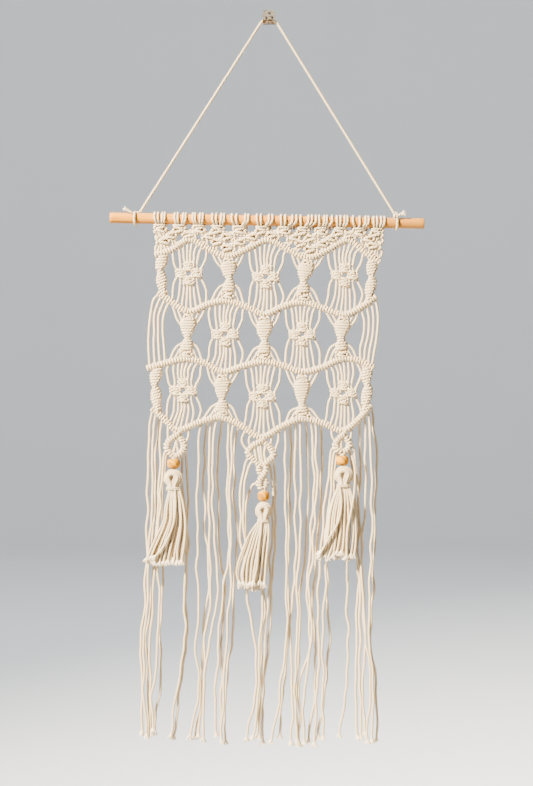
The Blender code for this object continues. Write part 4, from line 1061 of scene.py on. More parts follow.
# bar strand where the bar's halves cross, then x, z and reach along the left and right arms
PENDANTS = (
    (8, ((-111.0, -479.6, 3.4), (-115.5, -486.6, 3.8), (-112.8, -493.8, 3.7),
         (-105.8, -498.8, 3.3)),
     ((-98.6, -479.8, 3.4), (-95.4, -487.6, 4.2), (-98.7, -494.4, 3.7), (-106.0, -498.8, 3.3))),
    (24, ((-16.6, -485.4, 3.1), (-23.8, -494.6, 3.6), (-16.8, -502.6, 3.1),
          (-8.6, -510.2, 3.1)),
     ((-1.2, -485.8, 3.1), (5.6, -496.6, 4.0), (-0.4, -503.8, 3.2), (-6.8, -510.4, 3.1))),
    (40, ((78.0, -479.8, 3.4), (75.3, -485.8, 3.7), (77.8, -491.0, 3.6), (83.6, -494.4, 3.2)),
     ((88.8, -479.8, 3.4), (91.4, -485.8, 4.2), (88.8, -491.0, 3.6), (83.4, -494.6, 3.2))),
)
PENDANT_REACH = 3.1
PENDANT_CORD = 1.65
# where an arm crosses over from the bar: sideways and up
CROSSING = ((3.0, -0.5), (0.4, -4.2))
# one arm crosses in front of the other, by this much off the middle
CROSSING_TOWARD = 0.8
# how far under the bar the strands inside a pendant start
DIAMOND_DROP = 4.5
# strands inside each pendant: pendant, x at the top, in the middle and at the foot
DIAMOND_STRANDS = ((0, -102.6, -105.6, -109.6), (0, -105.4, -104.0, -100.6),
                   (1, -17.0, -15.2, -12.4), (1, -12.8, -10.8, -8.0), (1, -9.8, -8.6, -6.6),
                   (1, -2.6, -5.0, -2.2), (2, 82.8, 81.6, 82.6))
# strands from the bar to a diamond's corner: bar strand, bend x and z, end x and z
CORNER_STRANDS = ((5.0, -114.2, -478.0, -113.8, -484.6), (9.9, -91.0, -476.0, -96.0, -486.4),
                  (20.8, -30.6, -481.0, -23.0, -494.2), (22.1, -22.6, -481.0, -19.0, -491.6),
                  (25.9, 2.6, -481.5, 0.8, -493.0), (27.1, 10.6, -481.0, 5.0, -495.4),
                  (37.8, 71.4, -475.5, 75.6, -482.4), (42.1, 93.0, -473.5, 91.6, -481.2))
# the two hitched arms that cross under the centre diamond: sideways, z and reach
CENTRE_CROSSING = ((4.0, -510.5, 3.2), (3.6, -515.5, 3.3), (0.4, -521.0, 3.2),
                   (-3.4, -526.0, 3.4), (-3.8, -530.6, 3.5), (-1.6, -535.4, 2.8))
CENTRE_CROSSING_TOWARD = 0.9
CENTRE_X = -7.2

pendant_arms = []
pendant_strands = []
for strand, left_arm, right_arm in PENDANTS:
    top = bar_point(BARS[3], strand)
    for side, arm in ((-1.0, left_arm), (1.0, right_arm)):
        places = [(top + Vector((-side * across, side * CROSSING_TOWARD, up)), PENDANT_REACH)
                  for across, up in CROSSING]
        pendant_arms.append(places + [(cloth(x, z), reach) for x, z, reach in arm])
for pendant, upper_x, middle_x, lower_x in DIAMOND_STRANDS:
    strand, left_arm, _ = PENDANTS[pendant]
    top_z = bar_point(BARS[3], strand).z - DIAMOND_DROP
    foot_z = left_arm[-1][1]
    pendant_strands.append(even_radius([cloth(upper_x, top_z),
                                        cloth(middle_x, 0.5 * (top_z + foot_z)),
                                        cloth(lower_x, foot_z)], PENDANT_CORD))
for strand, bend_x, bend_z, end_x, end_z in CORNER_STRANDS:
    pendant_strands.append(even_radius([bar_point(BARS[3], strand, -BAR_ROOT),
                                        cloth(bend_x, bend_z), cloth(end_x, end_z)]))
crossing_runs = [[(cloth(CENTRE_X + side * across, z, side * CENTRE_CROSSING_TOWARD), reach)
                  for across, z, reach in CENTRE_CROSSING] for side in (-1.0, 1.0)]
piece("pendants",
      [grown(pendant_arms + crossing_runs, WOUND, Pitch=3.2 * MM, Depth=3.2 * MM,
             Unevenness=0.9 * MM),
       grown(pendant_strands, LAID, Step=1.3 * MM)])

# ---------------------------------------------------------------- fringe

FRINGE_LEVELS = (-540.0, -600.0, -650.0, -705.0, -760.0)
FRINGE_LAYERS = (-3.0, -5.8, -8.6)
FRINGE_PITCH = 3.2
END_PITCH = 4.9
# drop below the root where a strand reaches its layer, and its part of the way sideways by then
BAR_SETTLE = (14.0, 0.7)
PENDANT_SETTLE = (8.0, 0.45)
# a strand takes up the levels that are at least this far below its root
LEVEL_CLEARANCE = 14.0
# a strand whose root is too low for the first level bends out: across, back and up, then across
# and down from the root to its layer
LOW_ROOT_BEND = Vector((-3.0, 3.5, -2.0))
LOW_ROOT_ACROSS = -10.0
LOW_ROOT_DROP = 12.5
# waves of the hanging strands: spacing of their points, length under the root that sways less
WAVE_STEP = 8.0
FREE_LENGTH = 40.0
# the wave that a layer's strands share: its height, and its lengths across and down
SHARED_WAVE = 2.4
SHARED_ACROSS = 34.0
SHARED_DOWN = 30.0
# each strand's own wave: its height and its length down
OWN_WAVE = 1.8
OWN_DOWN = 19.0
# how far apart in the noise the layers' and strands' waves are read, so that they are unlike
LAYER_SHIFT = 9.3
OWN_STRAND_SHIFT = 5.7
OWN_LAYER_SHIFT = 3.3
# a strand is cut this far above its end in the table, which its fibres pass
CUT_ABOVE_END = 1.5
# root x, root z (None for a strand that leaves the bar, whose number comes first), layer,
# x at each level and at the end, z of the end
FRINGE = (
    (0, None, 1, -136.5, -137.5, -140.5, -144.5, -144.5, -144.5, -812.5),
    (1, None, 2, -132.0, -134.5, -137.0, -140.5, -142.5, -140.0, -816.0),
    (2, None, 0, -127.5, -131.0, -133.0, -138.0, -138.0, -136.5, -816.0),
    (3, None, 1, -124.5, -127.5, -131.0, -135.0, -135.0, -134.5, -814.5),
    (-115.0, -488.5, 2, -122.5, -125.5, -124.5, -127.0, -131.0, -133.5, -809.0),
    (-112.0, -491.5, 0, -120.5, -122.0, -122.0, -123.5, -124.5, -129.5, -812.5),
    (-100.2, -492.2, 1, -96.5, -94.0, -96.5, -95.5, -103.5, -110.5, -816.0),
    (-95.5, -489.0, 0, -92.5, -91.5, -94.5, -93.0, -100.5, -108.0, -818.0),
    (12, None, 2, -80.5, -80.0, -79.0, -82.5, -78.0, -90.0, -817.0),
    (13, None, 0, -73.0, -70.5, -69.0, -75.5, -76.5, -84.0, -818.0),
    (14, None, 1, -68.5, -67.0, -65.5, -71.0, -74.5, -79.0, -816.0),
    (15, None, 2, -63.5, -59.0, -57.5, -66.0, -73.0, -74.5, -820.5),
    (16, None, 0, -57.0, -56.5, -51.0, -52.0, -53.5, -55.5, -814.5),
    (17, None, 1, -46.5, -45.0, -51.5, -55.5, -59.0, -60.0, -814.5),
    (18, None, 2, -43.5, -42.5, -43.5, -48.0, -51.5, -53.0, -822.5),
    (19, None, 0, -39.5, -36.0, -40.0, -41.0, -48.5, -51.0, -824.0),
    (-21.5, -498.0, 1, -32.5, -31.0, -26.0, -17.5, -15.0, -26.0, -820.5),
    (-17.5, -502.0, 2, -29.0, -27.0, -8.0, -10.5, -12.0, -19.0, -818.0),
    (-13.2, -528.0, 0, -20.5, -25.0, -6.0, -8.0, -10.0, -14.0, -817.0),
    (-0.5, -504.5, 1, 4.5, 3.0, -1.0, -4.5, -8.0, -10.5, -817.0),
    (3.5, -500.0, 0, 8.0, 6.0, 2.5, 0.0, -6.0, -8.5, -824.0),
    (28, None, 2, 18.5, 19.0, 20.0, 19.0, 13.0, 2.5, -822.5),
    (29, None, 0, 24.5, 22.0, 21.5, 21.0, 15.5, 14.0, -817.0),
    (30, None, 1, 30.5, 30.0, 26.5, 25.0, 26.0, 26.0, -824.0),
    (31, None, 2, 36.0, 35.0, 32.0, 32.0, 29.0, 31.5, -822.5),
    (32, None, 0, 44.0, 42.5, 35.5, 35.0, 31.0, 33.0, -824.0),
    (33, None, 1, 51.0, 47.0, 42.0, 46.5, 34.0, 35.5, -826.0),
    (34, None, 2, 54.0, 51.0, 46.5, 48.0, 40.5, 38.0, -824.0),
    (35, None, 0, 59.5, 55.5, 50.0, 51.5, 52.0, 45.0, -821.5),
    (74.8, -484.8, 1, 66.0, 60.5, 55.5, 56.5, 55.0, 52.0, -826.0),
    (77.0, -487.8, 2, 70.0, 65.5, 64.0, 60.0, 61.0, 61.0, -818.0),
    (79.9, -491.4, 0, 73.5, 68.0, 66.0, 68.0, 64.0, 56.0, -818.0),
    (85.0, -491.5, 0, 86.0, 88.0, 88.5, 90.0, 88.5, 79.0, -816.0),
    (88.5, -487.5, 1, 97.0, 100.0, 103.0, 102.5, 104.0, 105.0, -819.0),
    (92.3, -484.0, 2, 101.5, 104.0, 106.0, 110.5, 117.5, 117.5, -822.5),
    (44, None, 0, 103.0, 101.0, 101.0, 100.0, 98.5, 99.5, -818.0),
    (45, None, 1, 110.0, 105.5, 105.0, 109.5, 105.5, 109.0, -813.5),
    (46, None, 2, 116.0, 114.5, 114.0, 112.5, 116.5, 110.5, -821.5),
    (47, None, 0, 121.0, 120.5, 118.5, 115.0, 121.0, 122.0, -820.5),
)
FRAY_FIBRES = 12
FRAY_LENGTH = (4.0, 6.5)
FRAY_SPREAD = 3.4
# how unevenly the fibres stand round the end, in radians, and their share of the full spread
FRAY_TURN = 0.3
FRAY_SHARE = (0.55, 1.0)
# a fibre's points: part of its length, part of its spread and radius
FRAY_SHAPE = ((0.4, 0.3, 0.75), (0.85, 0.8, 0.65), (1.0, 1.0, 0.4))
FRAY_ROOT_RADIUS = 0.7
# the fibres start this far up inside the cord, at this part of its radius
FRAY_INSIDE = 2.0
FRAY_ROOT_PART = 0.55


def frayed(point, down, radius, flare):
    """Fine fibres that spread from the cut end of a cord."""
    runs = []
    across = down.cross(FRONT).normalized()
    for turn in turns(FRAY_FIBRES):
        turn += random_source.uniform(-FRAY_TURN, FRAY_TURN)
        out = across * math.cos(turn) + FRONT * math.sin(turn)
        length = random_source.uniform(*FRAY_LENGTH)
        reach = random_source.uniform(*FRAY_SHARE) * flare
        start = point - FRAY_INSIDE * down + out * radius * FRAY_ROOT_PART
        runs.append([(start, FRAY_ROOT_RADIUS)]
                    + [(start + down * along * length + out * aside * reach, fibre_radius)
                       for along, aside, fibre_radius in FRAY_SHAPE])
    return runs


def frayed_end(points, radius=CORD_RADIUS):
    """Fibres at the end of a cord that runs through these points."""
    return frayed(points[-1], (points[-1] - points[-2]).normalized(), radius, FRAY_SPREAD)


def frayed_piece(name, fibres, step=2.0):
    """The frayed ends of one part of the hanging."""
    piece(name, [grown(fibres, LAID, Sides=4, Step=step * MM, Material=FIBRES)])


# rounds of pushing, enough for the places to come to rest
SPREAD_ROUNDS = 40


def spread(places, pitch):
    """Neighbours' places in one layer, pushed apart to at least the pitch in their order."""
    places = list(places)
    for _ in range(SPREAD_ROUNDS):
        for index in range(len(places) - 1):
            lack = pitch - (places[index + 1] - places[index])
            if lack > 0.0:
                places[index] -= 0.5 * lack
                places[index + 1] += 0.5 * lack
    return places


def smooth_run(points, step):
    """Points about a step apart on the smooth line through the given ones."""
    ends = [2.0 * points[0] - points[1], *points, 2.0 * points[-1] - points[-2]]
    run = [points[0]]
    for before, start, end, after in zip(ends, ends[1:], ends[2:], ends[3:]):
        count = max(1, round((end - start).length / step))
        for index in range(1, count + 1):
            part = index / count
            run.append(0.5 * (2.0 * start + (end - before) * part
                              + (2.0 * before - 5.0 * start + 4.0 * end - after) * part ** 2
                              + (3.0 * start - before - 3.0 * end + after) * part ** 3))
    return run


def swaying(points, layer, strand):
    """The run with the slow waves that its layer shares and some of its own."""
    run = smooth_run(points, WAVE_STEP)
    for index, point in enumerate(run):
        freed = min(1.0, index * WAVE_STEP / FREE_LENGTH)
        shared = noise.noise(Vector((point.x / SHARED_ACROSS, LAYER_SHIFT * layer,
                                     point.z / SHARED_DOWN)))
        own = noise.noise(Vector((OWN_STRAND_SHIFT * strand + 0.5, OWN_LAYER_SHIFT * layer,
                                  point.z / OWN_DOWN)))
        point.x += freed * (SHARED_WAVE * shared + OWN_WAVE * own)
    return run


def fringe_runs():
    """The strands below the last bar, and the frayed fibres at their ends."""
    strands, fibres = [], []
    for layer, layer_y in enumerate(FRINGE_LAYERS):
        rows = [row for row in FRINGE if row[2] == layer]
        *columns, end_column = zip(*(row[3:-1] for row in rows))
        columns = [spread(column, FRINGE_PITCH) for column in columns]
        ends = spread(end_column, END_PITCH)
        for index, (root_x, root_z, *_, end_z) in enumerate(rows):
            if root_z is None:
                root = bar_point(BARS[3], root_x + 0.5, -BAR_ROOT)
                drop, sideways = BAR_SETTLE
            else:
                root = cloth(root_x, root_z)
                drop, sideways = PENDANT_SETTLE
            settled_x = root.x + sideways * (columns[0][index] - root.x)
            points = [root, Vector((settled_x, layer_y, root.z - drop))]
            points += [Vector((column[index], layer_y, z))
                       for column, z in zip(columns, FRINGE_LEVELS)
                       if z < root.z - LEVEL_CLEARANCE]
            if root.z < FRINGE_LEVELS[0] + LEVEL_CLEARANCE:
                # this one comes out from behind the crossing arms
                points[1:2] = [root + LOW_ROOT_BEND,
                               Vector((root.x + LOW_ROOT_ACROSS, layer_y, root.z - LOW_ROOT_DROP))]
            points.append(Vector((ends[index], layer_y, end_z + CUT_ABOVE_END)))
            run = swaying(points, layer, index)
            strands.append(even_radius(run))
            fibres += frayed_end(run)
    return strands, fibres


fringe_strands, fringe_fibres = fringe_runs()
piece("fringe_strands", [grown(fringe_strands, LAID, Step=2.2 * MM)],
      ("fringe",))
frayed_piece("fringe_frayed_ends", fringe_fibres)

# ---------------------------------------------------------------- beads

# bead: x, z, radius, half height
BEADS = (("bead_left", -107.7, -506.6, 7.45, 5.3), ("bead_centre", -6.1, -543.2, 6.65, 5.5),
         ("bead_right", 82.7, -503.0, 7.2, 5.3))
BEAD_Y = -12.0
BORE_RADIUS = 2.75
# outer profile from the top down: part of the half height, part of the radius
BEAD_PROFILE = ((1.0, 0.52), (0.98, 0.62), (0.88, 0.76), (0.7, 0.88), (0.45, 0.96), (0.15, 1.0),
                (-0.15, 1.0), (-0.45, 0.96), (-0.7, 0.88), (-0.88, 0.76), (-0.98, 0.62),
                (-1.0, 0.52))
BEAD_SIDES = 48


def turned(centre, profile, material, sides):
    """Closed ring turned about the vertical through a centre, from (radius, height) pairs."""
    rings = [circle(centre + height * UP, radius, RIGHT, BACK, sides)
             for radius, height in profile]
    return skinned([rings], material, closed=True)


for name, x, z, radius, half_height in BEADS:
    outer = [(part * radius, up * half_height) for up, part in BEAD_PROFILE]
    bore = [(BORE_RADIUS, -half_height), (BORE_RADIUS, half_height)]
    mesh = turned(Vector((x, BEAD_Y, z)), outer + bore, BEAD_WOOD, BEAD_SIDES)
    piece(name + "_turned", [mesh], (name,))

# ---------------------------------------------------------------- tassels

TASSEL_Y = -13.7
SKIRT_LAYERS = (-16.6, -13.9, -11.2)
# name, x, top of the head, foot of the head, half width, how far its eye is off the middle,
# strands across, bead, then the skirt's rows: z, left edge, right edge
TASSELS = (
    ("tassel_left", -107.8, -512.6, -535.0, 10.8, -2.2, 9, 0,
     ((-535.5, -113.8, -98.9), (-553.5, -117.5, -95.5), (-570.5, -119.5, -93.2),
      (-587.5, -127.7, -93.2), (-602.0, -134.5, -94.9), (-615.5, -140.1, -96.1))),
    ("tassel_centre", -6.1, -549.4, -571.5, 9.4, -0.6, 8, 1,
     ((-572.5, -12.2, 0.8), (-584.0, -21.5, 1.7), (-599.0, -28.3, 1.1),
      (-616.0, -34.5, 0.0), (-629.5, -37.3, -1.1), (-644.0, -35.6, -3.4))),
    ("tassel_right", 84.6, -509.0, -532.0, 10.7, -1.2, 9, 2,
     ((-533.0, 77.0, 92.2), (-548.0, 70.6, 96.1), (-565.0, 65.5, 98.9),
      (-582.0, 63.3, 100.0), (-599.0, 60.5, 98.9), (-610.0, 55.9, 98.3))),
)
HEAD_HALF_DEPTH = 4.9
# nested arches round the eye of a head: part of the reach, and part of the depth to the front
HEAD_ARCHES = ((1.0, 0.2), (0.79, 0.7), (0.62, 1.0), (0.48, 0.94))
# an arch from the top down: across, up from the eye
ARCH_SHAPE = ((0.0, 1.0), (0.42, 0.93), (0.8, 0.6), (1.0, 0.05), (0.97, -0.45))
# how far down the head its eye is
EYE_PART = 0.46
HEAD_CORD = 1.35
HEAD_JITTER = 0.15
# the parts of the head's half depth that the arches and the curling strand reach
ARCH_DEPTH = 0.8
CURL_DEPTH = 0.72
# how much nearer the middle an inner arch stands at its foot
FOOT_DRAW = 0.4
# where the arches stand in the neck, as a part of their reach: the outer one, and how much
# nearer the middle an inner one is
NECK_PART = 0.62
NECK_DRAW = 0.45
# heights of the arches' last points from the foot of the head
NECK_HEIGHTS = (4.5, -1.0)
# the curling strand: across, nearer the front, and up from the eye
CURL_SHAPE = ((4.0, -1.6, 2.6), (2.6, 0.0, 1.6), (1.8, 0.0, -1.4), (0.3, 0.0, -5.6))
CURL_FOOT_X = 0.2
CURL_CORD = 1.1
CURL_SHIFT = 0.6


def head_arches(x, top, foot, half_width, eye_shift):
    """Strands that arch over the eye of the head and run down to the neck."""
    runs = []
    eye_z = top - EYE_PART * (top - foot)
    reach = half_width - CORD_RADIUS
    rise = top - CORD_RADIUS - eye_z
    for face in (1.0, -1.0):
        for part, depth in HEAD_ARCHES:
            y = TASSEL_Y - face * depth * HEAD_HALF_DEPTH * ARCH_DEPTH
            half = [Vector((across * part * reach, 0.0, eye_z + up * part * rise))
                    for across, up in ARCH_SHAPE]
            half[-1].x *= 1.0 - FOOT_DRAW * (1.0 - part)
            gather = NECK_PART - NECK_DRAW * (1.0 - part)
            half += [Vector((gather * part * reach, 0.0, foot + height))
                     for height in NECK_HEIGHTS]
            middle = x + eye_shift * (1.0 - part)
            left = [Vector((middle - point.x, y, point.z)) for point in reversed(half)]
            right = [Vector((middle + point.x, y, point.z)) for point in half[1:]]
            runs.append(even_radius([point + jitter(HEAD_JITTER) for point in left + right],
                                    HEAD_CORD))
        y = TASSEL_Y - face * HEAD_HALF_DEPTH * CURL_DEPTH
        middle = x + CURL_SHIFT * eye_shift
        curl = [Vector((middle + across, y - face * toward, eye_z + up))
                for across, toward, up in CURL_SHAPE]
        curl.append(Vector((middle + CURL_FOOT_X, y, foot + NECK_HEIGHTS[-1])))
        runs.append(even_radius(curl, CURL_CORD))
    return runs


SKIRT_CORD = 1.3
# share of their spread that a skirt's strands keep under the neck's wrapping
NECK_GATHER = 0.76
# how far a strand of a skirt may stray over its neighbours, and the most of it for each strand
# that it has on that side, so that the outer strands stay in the skirt
SKIRT_DRIFT = 1.6
EDGE_DRIFT = 2.2
# degrees of its wave from row to row: the straying grows over the upper rows and then fades
DRIFT_WAVE = 30.0
# a straying strand lies this much nearer to the front for each millimetre that it strays
DRIFT_LIFT = 0.35
# sideways unevenness that each further row adds
ROW_STIR = 0.16
# the strands start this far up inside the neck, and end this much below or above the last row
SKIRT_START = 2.0
SKIRT_ENDS = (-3.0, 4.0)
STRAY_TOWARD = 1.2
# strands that lie over a skirt: the tassel, then points of x and z and a lift off the skirt
STRAYS = (
    (2, ((79.5, -530.5, 0.0), (81.5, -545.0, 0.6), (80.5, -562.0, 1.6), (76.0, -576.0, 2.6),
         (67.5, -590.0, 3.0), (57.5, -608.0, 2.4))),
    (2, ((93.5, -497.0, 1.0), (97.0, -514.0, 1.5), (96.5, -536.0, 2.2), (92.6, -560.0, 2.6),
         (88.6, -580.0, 2.6), (87.4, -598.0, 2.2), (88.0, -620.0, -2.0),
         (88.2, -640.0, -8.0))),
    (0, ((-106.0, -533.0, 0.0), (-105.0, -552.0, 1.0), (-106.5, -570.0, 2.0),
         (-112.0, -587.0, 2.6), (-121.0, -603.0, 2.6), (-129.0, -612.0, 2.0))),
    (1, ((-8.0, -570.0, 0.0), (-9.5, -586.0, 1.0), (-12.0, -604.0, 2.0), (-13.5, -622.0, 2.4),
         (-17.5, -640.0, 2.2))),
)


def stray_runs(tassel):
    """Single strands that cross over the front of a skirt."""
    return [[Vector((x, SKIRT_LAYERS[0] - STRAY_TOWARD - lift, z)) for x, z, lift in places]
            for number, places in STRAYS if number == tassel]


def skirt_runs(rows, count):
    """Strands of a tassel's skirt in three layers, and their frayed ends."""
    strands, fibres = [], []
    for layer, layer_y in enumerate(SKIRT_LAYERS):
        for column in range(count - layer % 2):
            part = (column + 0.5 + 0.5 * (layer % 2)) / count
            points = []
            drift = random_source.uniform(-1.0, 1.0) * SKIRT_DRIFT
            drift = min(max(drift, -part * count * EDGE_DRIFT),
                        (1.0 - part) * count * EDGE_DRIFT)
            for index, (z, left, right) in enumerate(rows):
                stir = ROW_STIR * index
                wander = drift * math.sin(math.radians(DRIFT_WAVE * index))
                gathered = NECK_GATHER if index == 0 else 1.0
                across = gathered * (part - 0.5) * (right - left)
                x = (0.5 * (left + right) + across + wander
                     + random_source.uniform(-stir, stir))
                y = TASSEL_Y + gathered * (layer_y - TASSEL_Y) - DRIFT_LIFT * abs(wander)
                points.append(Vector((x, y, z)))
            points[-1].z += random_source.uniform(*SKIRT_ENDS)
            points[0].z += SKIRT_START
            strands.append(points)
            fibres += frayed_end(points, SKIRT_CORD)
    return strands, fibres


# the neck's wrapping: part of the head's half width, and heights of its ends from the foot
NECK_WIDTH = 0.8
NECK_ENDS = (1.5, -1.6)
# the two cords through a bead: where they start from the middle of its top (aside, behind and
# above), how far aside they then run, and how deep they end in the tassel's head
STEM_START = (1.1, 1.5, 2.5)
STEM_ASIDE = 1.0
STEM_SUNK = 4.0
STEM_CORD = 1.2
# the padding inside the head and the neck: its sides, how flat it is from front to back, the
# radius of its ends, and how far its top is below the head's and its bottom below the foot
PADDING_SIDES = 16
PADDING_FLATNESS = 0.2
PADDING_TIP = 0.2
PADDING_TOP = 3.0
PADDING_FOOT = 5.0
# its profile between them: part of the head's half width, and height from a level of the head
PADDING_SHAPE = ((0.5, "top", -6.0), (0.62, "middle", 0.0), (0.5, "foot", 2.0),
                 (0.42, "foot", -4.0))


def stem(bead, x, top):
    """The two cords that come through a bead down to the head of its tassel."""
    _, bead_x, bead_z, _, bead_half = BEADS[bead]
    aside, behind, above = STEM_START
    return [even_radius([Vector((bead_x + side * aside, BEAD_Y + behind,
                                 bead_z + bead_half + above)),
                         Vector((bead_x + side * STEM_ASIDE, BEAD_Y, bead_z + bead_half)),
                         Vector((bead_x + side * STEM_ASIDE, BEAD_Y, bead_z - bead_half)),
                         Vector((x + side * STEM_ASIDE, TASSEL_Y, top - STEM_SUNK))],
                        STEM_CORD)
            for side in (-1.0, 1.0)]


def padding(x, top, foot, half_width):
    """Flat padding that closes the gaps between the arches of a head."""
    levels = {"top": top, "middle": 0.5 * (top + foot), "foot": foot}
    profile = [(part * half_width, levels[level] + height)
               for part, level, height in PADDING_SHAPE]
    profile = [(PADDING_TIP, top - PADDING_TOP), *profile, (PADDING_TIP, foot - PADDING_FOOT)]
    mesh = turned(Vector((x, TASSEL_Y, 0.0)), profile, COTTON, PADDING_SIDES)
    middle_y = TASSEL_Y * MM
    for vertex in mesh.vertices:
        vertex.co.y = middle_y + PADDING_FLATNESS * (vertex.co.y - middle_y)
    return mesh


for name, x, top, foot, half_width, eye_shift, count, bead, rows in TASSELS:
    strands, fibres = skirt_runs(rows, count)
    for stray in stray_runs(bead):
        strands.append(stray)
        # one that goes back into the fringe behind the skirt has no frayed end
        if stray[-1].y < TASSEL_Y:
            fibres += frayed_end(stray, SKIRT_CORD)
    skirt = [even_radius(points, SKIRT_CORD) for points in strands]
    neck = even_radius([Vector((x, TASSEL_Y, foot + height)) for height in NECK_ENDS],
                       NECK_WIDTH * half_width)
    piece(name + "_laid",
          [grown(head_arches(x, top, foot, half_width, eye_shift), LAID, Step=1.0 * MM),
           grown(skirt + stem(bead, x, top), LAID, Step=1.8 * MM, Sway=1.5 * MM),
           grown([neck], WOUND, Pitch=1.5 * MM, Depth=6.0 * MM, Cord_radius=0.8 * MM,
                 Steps_a_turn=28, Unevenness=0.0), padding(x, top, foot, half_width)],
          (name,))
    frayed_piece(name + "_frayed", fibres)

# ---------------------------------------------------------------- rod

ROD_STATIONS = 90
ROD_SIDES = 40
ROD_CHAMFER = 0.8
# waviness left by sanding: its height, its radians a millimetre, and how far it is sunk
SANDING_HEIGHT = 0.06
SANDING_RATE = 0.07
SANDING_DEPTH = 0.05


def rod_mesh():
    """Dowel with eased ends and the slight waviness of a sanded rod."""
    axis = Vector((1.0, 0.0, -ROD_FALL)).normalized()
    up = Vector((ROD_FALL, 0.0, 1.0)).normalized()
    half = 0.5 * ROD_LENGTH
    stations = [(-half, 0.0), (-half, ROD_RADIUS - ROD_CHAMFER),
                (-half + 0.3 * ROD_CHAMFER, ROD_RADIUS - 0.3 * ROD_CHAMFER),
                (-half + ROD_CHAMFER, ROD_RADIUS)]
    eased = len(stations)
    for index in range(1, ROD_STATIONS):
        at = -half + ROD_CHAMFER + (ROD_LENGTH - 2.0 * ROD_CHAMFER) * index / ROD_STATIONS
        wave = SANDING_HEIGHT * math.sin(SANDING_RATE * at)
        stations.append((at, ROD_RADIUS + wave - SANDING_DEPTH))
    stations += [(-at, radius) for at, radius in reversed(stations[:eased])]
    rings = [circle(ROD_CENTRE + axis * at, radius, FRONT, up, ROD_SIDES if radius else 1)
             for at, radius in stations]
    return skinned([rings], BEECH)


piece("rod_dowel", [rod_mesh()], ("rod",))

# ---------------------------------------------------------------- ties

# name, wrap's x in front and behind, knot's centre, the tail's points, ways its ends point
TIES = (
    ("rod_tie_left", -151.6, -150.4, (-149.4, -5.2, -225.8),
     ((-150.4, -12.5, -224.0), (-153.6, -16.4, -224.0), (-157.4, -17.2, -222.0),
      (-160.4, -17.2, -220.4)), ((-1.0, 0.0, 0.55),)),
    ("rod_tie_right", 144.8, 143.2, (142.8, -17.6, -227.6),
     ((142.6, -17.0, -229.6), (145.6, -18.2, -227.2), (148.4, -18.2, -225.6),
      (150.4, -18.2, -225.2)), ((0.75, 0.0, 1.0), (1.0, 0.0, -0.2))),
)
TIE_CORD = 1.4
WRAP_REACH = 7.2
WRAP_POINTS = 14
# a knot's coil: points a turn and in all, half width, half depth, half height, and fall a point
TIE_KNOT_TURN = 8
TIE_KNOT_POINTS = 13
TIE_KNOT_HALF = (1.5, 0.9, 2.6)
TIE_KNOT_FALL = 0.25
TIE_KNOT_TOP = 1.5
TAIL_RADIUS = 0.9
TAIL_FLARE = 2.1
TAIL_FIBRE_STEP = 1.5


def tie_runs(front_x, back_x, knot_at, tail, partings):
    """A turn of cord round the rod, its knot and its tail."""
    wrap = []
    for turn in [*turns(WRAP_POINTS), 2.0 * math.pi]:
        x = front_x + (back_x - front_x) * 0.5 * (1.0 - math.cos(turn))
        out = Vector((0.0, -math.cos(turn), math.sin(turn)))
        wrap.append(Vector((x, ROD_CENTRE.y, rod_z(x))) + WRAP_REACH * out)
    half_width, half_depth, half_height = TIE_KNOT_HALF
    knot = []
    for index in range(TIE_KNOT_POINTS):
        turn = 2.0 * math.pi * index / TIE_KNOT_TURN
        up = half_height * math.sin(turn) - TIE_KNOT_FALL * index + TIE_KNOT_TOP
        knot.append(Vector(knot_at) + Vector((half_width * math.cos(turn),
                                              half_depth * math.sin(0.5 * turn), up)))
    tail = [Vector(point) for point in tail]
    fibres = []
    for way in partings:
        fibres += frayed(tail[-1], Vector(way).normalized(), TAIL_RADIUS,
                         TAIL_FLARE / len(partings))
    return [even_radius(points, TIE_CORD) for points in (wrap, knot, tail)], fibres


for name, *tie in TIES:
    runs, fibres = tie_runs(*tie)
    piece(name + "_laid", [grown(runs, LAID, Step=1.0 * MM)], (name,))
    frayed_piece(name + "_frayed", fibres, TAIL_FIBRE_STEP)

# ---------------------------------------------------------------- hook

for hook in [obj for obj in bpy.data.objects if obj.name == "hook"]:
    for material_slot in hook.material_slots:
        material_slot.material = STEEL

# x and z of the nails, and the profile of a nail's head: radius and y
NAILS = ((0.4, 4.1), (-3.2, -0.9), (3.5, -0.7))
NAIL_HEAD = ((0.05, -1.8), (0.9, -1.75), (1.45, -1.5), (1.65, -1.21), (1.1, -1.2), (1.1, -0.3),
             (0.05, -0.3))
NAIL_SIDES = 20


def nail_heads():
    """Domed heads that cover the plate's holes."""
    shells = [[circle(Vector((x, y, z)), radius, RIGHT, UP, NAIL_SIDES)
               for radius, y in NAIL_HEAD] for x, z in NAILS]
    # the heads are near-black as painted shade of the holes they sit in
    return skinned(shells, NAIL_SHADE, caps=(0, -1))


piece("hook_nail_heads", [nail_heads()])

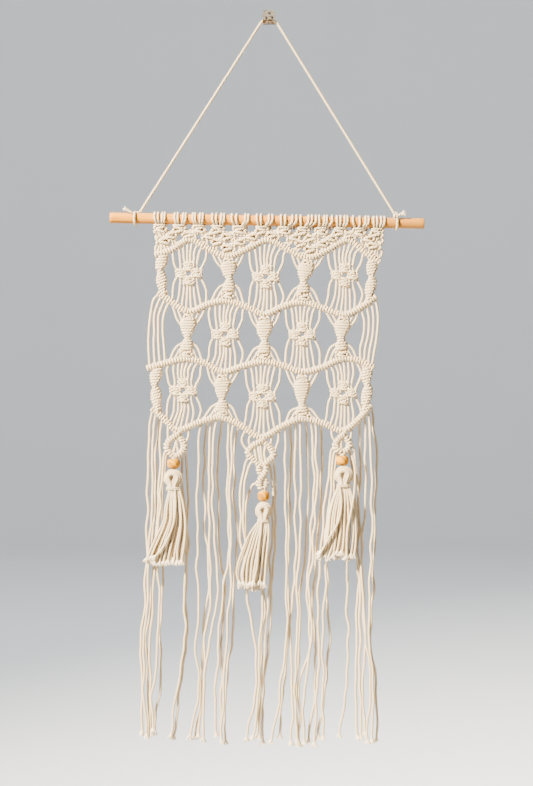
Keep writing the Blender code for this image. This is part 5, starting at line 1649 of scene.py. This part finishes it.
# ---------------------------------------------------------------- floor and lights

# the floor's height, the rings of its flat part, the curve's radius and the wall's top
FLOOR_Z = -1000.0
FLOOR_RINGS = (1.0, 1500.0, 3200.0, 4800.0)
FLOOR_CURVE = 1600.0
FLOOR_WALL = 5000.0
FLOOR_SIDES = 96
CURVE_STEPS = 12


def studio_floor():
    """Round floor that curves up into a low wall all round."""
    profile = [(radius, 0.0) for radius in FLOOR_RINGS]
    for step in range(1, CURVE_STEPS + 1):
        turn = math.radians(90.0 * step / CURVE_STEPS)
        profile.append((FLOOR_RINGS[-1] + FLOOR_CURVE * math.sin(turn),
                        FLOOR_CURVE * (1.0 - math.cos(turn))))
    profile.append((FLOOR_RINGS[-1] + FLOOR_CURVE, FLOOR_WALL))
    rings = [circle((FLOOR_Z + height) * UP, radius, RIGHT, BACK, FLOOR_SIDES)
             for radius, height in profile]
    mesh = skinned([rings], FLOOR, caps=(0,))
    # an open shell is given outward faces, and the floor is seen from inside
    mesh.flip_normals()
    return placed("studio_floor", mesh)


studio_floor()

# name, place, aim and size in metres, spread in degrees, power in watts, colour
LIGHTS = (("key_light", (-2.2, -1.8, 1.3), (0.0, 0.0, -0.42), 0.3, 45.0, 80.0, "FFF5E6"),
          ("fill_light", (2.4, -2.2, 0.1), (0.0, 0.0, -0.42), 2.0, 180.0, 1.0, "FFF6EC"),
          ("back_light", (0.0, 0.9, 2.6), (0.0, 5.0, -0.9), 2.4, 180.0, 260.0, "FFFFFF"))
for name, place, aim, size, beam, power, tint in LIGHTS:
    light = bpy.data.lights.new(name, "AREA")
    light.size = size
    light.spread = math.radians(beam)
    light.energy = power
    light.color = linear(tint)[:3]
    holder = placed(name, light)
    holder.location = place
    holder.rotation_euler = (Vector(aim) - Vector(place)).to_track_quat("-Z", "Y").to_euler()

world = bpy.data.worlds.new("studio_air")
world.use_nodes = True
air = world.node_tree.nodes["Background"].inputs
air["Color"].default_value = linear("F4F4F6")
air["Strength"].default_value = 0.03
bpy.context.scene.world = world
